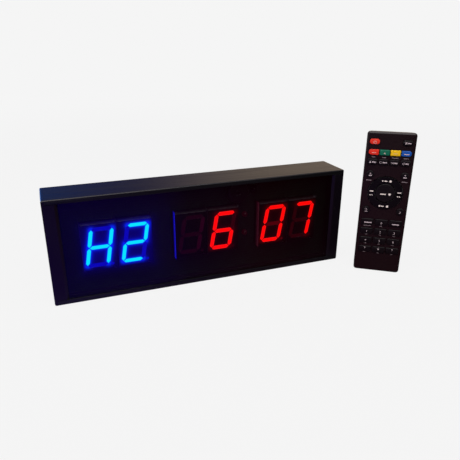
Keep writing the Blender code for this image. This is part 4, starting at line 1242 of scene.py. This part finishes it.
# Marks on the ring, in mm: symbol, height, width, and place from its centre
RING_MARKS = [
    ("▶", 1.7, 0, -3.3, 12.1), ("■", 1.0, 2.6, -0.7, 12.1), ("●", 2.3, 0, 3.6, 12.0),
    ("■", 1.0, 3.4, -12.9, 1.3), ("◀◀", 1.6, 3.2, -13.1, -2.6),
    ("■", 1.0, 3.4, 13.1, 1.3), ("▶▶", 1.6, 3.2, 12.9, -2.6),
    ("■", 1.6, 1.6, -3.9, -13.3), ("■", 1.0, 2.6, -1.2, -13.3), ("●", 2.3, 0, 3.3, -13.3),
]


def mark(name, symbol, height, width, place):
    """A printed symbol in the remote's frame, centred on a place and facing out of it."""
    pick()
    bpy.ops.object.text_add()
    letters = bpy.context.object
    letters.name = name
    letters.data.body = symbol
    letters.data.resolution_u = 4
    letters.data.extrude = MARK_THICK
    bpy.ops.object.convert(target="MESH")
    made = bpy.context.object
    low, high = extents([v.co for v in made.data.vertices])
    tall = height / (high.y - low.y)
    wide = width / (high.x - low.x) if width else tall
    middle = (low + high) / 2
    made.matrix_world = (
        Matrix.Translation(place)
        @ Matrix.Rotation(math.radians(90), 4, "X")
        @ Matrix.Diagonal((wide, tall, 1.0, 1.0))
        @ Matrix.Translation((-middle.x, -middle.y, 0.0))
    )
    return settle(made)


def print_marks(name, body, marks, middle, front, finish):
    """Print several symbols, given in mm from a middle, as one piece that rides on a body."""
    pieces = []
    for number, (symbol, height, width, across, up) in enumerate(marks):
        place = (middle.x + across * MM, front - MARK_LIFT, middle.z + up * MM)
        pieces.append(mark(f"{name}_{number}", symbol, height * MM, width * MM, place))
    ride(stand(join(name, pieces)), body, finish)


def dress_keys():
    for node, (shape, finish, slot) in KEYS.items():
        key = round_key(node) if shape == "round" else block_key(node, CORNERS[shape])
        ride(key, node, finish, [node])
    for node, (shape, finish, slot) in KEYS.items():
        ink = BRIGHT_PRINT if node == "enter_key" else PRINT if finish is KEY_FINISH else KEY_PRINT
        low, high = local_box(node, KEY_FRONT)
        print_marks(f"{node}_legend", node, LEGENDS[node], (low + high) / 2, low.y, ink)
    dashes = []
    for node, (width, across, up) in FACE_DASHES.items():
        low, high = local_box(node, KEY_FRONT)
        middle = (low + high) / 2 / MM
        dashes.append(("■", DASH_TALL, width, middle.x + across, middle.z + up))
    face = local_box("remote_top_case")[0].y
    print_marks("remote_face_print", "handset", dashes, Vector(), face, DIM_PRINT)


def dress_ring():
    """The rocking ring: a block's top face spun about the ring's axis, with rounded rims."""
    low, high = local_box("nav_ring")
    middle = (low + high) / 2
    inner = local_box("enter_key")[1].x + RING_GAP
    below, above = middle.z - RING_SLICE, middle.z + RING_SLICE
    ring = box("nav_ring_dish", (inner, low.y, below), (high.x, high.y, above))
    enter_edit(ring)
    select_faces(lambda centre, normal: normal.z < 0.5)
    bpy.ops.mesh.delete(type="FACE")
    bpy.ops.mesh.select_all(action="SELECT")
    bpy.ops.transform.translate(value=(0, 0, -RING_SLICE))
    bpy.ops.mesh.spin(steps=96, angle=2 * math.pi, center=middle, axis=(0, 1, 0))
    bpy.ops.mesh.select_all(action="SELECT")
    bpy.ops.mesh.remove_doubles(threshold=2 * MERGE)
    bpy.ops.mesh.normals_make_consistent(inside=False)
    leave_edit()
    soften(ring, RING_EDGE, 4, 50)
    ride(stand(ring), "nav_ring", RING_FINISH, ["nav_ring"])
    print_marks("nav_ring_legend", "nav_ring", RING_MARKS, middle, low.y, BRIGHT_PRINT)


def slope_end(shell):
    """Tilt the remote's top end, so that it falls towards the back."""
    shell.matrix_world = STAND.inverted() @ shell.matrix_world
    settle(shell)
    high = local_box("remote_top_case")[1].z
    enter_edit(shell)
    select_parts("VERT", lambda point: point.co.z > high - END_TALL and point.co.y > END_RIM + END_STEP)
    bpy.ops.transform.rotate(
        value=math.radians(END_SLOPE), orient_axis="X", center_override=(0, END_RIM, high)
    )
    leave_edit()
    stand(shell)


def lower(emitter):
    emitter.location.z = -EMITTER_DROP
    settle(emitter)


def grip_door(door):
    """Cut grip grooves and an arrow into the battery door's outer face."""
    low, high = local_box("battery_door")
    x = (low.x + high.x) / 2
    back = high.y + CUT_OVER
    wide, tall = GROOVE_HALF
    for number in range(GROOVES):
        z = high.z - GROOVE_START - number * GROOVE_PITCH
        inside = (x - wide, high.y - GROOVE_DEPTH, z - tall)
        cut(door, stand(box(f"groove_{number}", inside, (x + wide, back, z + tall))))
    wedge = turned("arrow", [(0.0, ARROW_RADIUS), (ARROW_DEPTH + CUT_OVER, ARROW_RADIUS)], 3)
    wedge.rotation_euler.z = math.radians(90)
    turn_to_front(settle(wedge), x, back, high.z - ARROW_DROP)
    cut(door, stand(wedge))


def dress_remote():
    for node, name, body, slot, finish, change in (
        ("remote_top_case", "remote_front_shell", "handset", "remote_black", REMOTE_FINISH, slope_end),
        ("remote_bottom_case", "remote_back_shell", "handset", "remote_black", REMOTE_FINISH, slope_end),
        ("battery_door", "battery_door_panel", "battery_door", "remote_black", REMOTE_FINISH, grip_door),
        ("remote_emitter", "remote_emitter_lens", "handset", "emitter_dark", FILTER_FINISH, lower),
    ):
        dress_copy(node, name, body, finish, change)
    paint("remote_circuit_board", BOARD_FINISH)
    for node in ("remote_key_mat", "nav_pad"):
        paint(node, MAT_FINISH)
    for node in ("battery_bridge", "battery_contact", "battery_spring"):
        paint(node, STEEL_FINISH)
    low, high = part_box("battery_left")
    paint("battery_left", make_jacket(high.z, low.z))
    low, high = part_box("battery_right")
    paint("battery_right", make_jacket(low.z, high.z))


make_camera()
make_world()
make_floor()
make_lights()
dress_case()
dress_screws()
dress_digits()
dress_window()
dress_board()
dress_remote()
dress_keys()
dress_ring()

bpy.context.scene.view_settings.view_transform = "Standard"
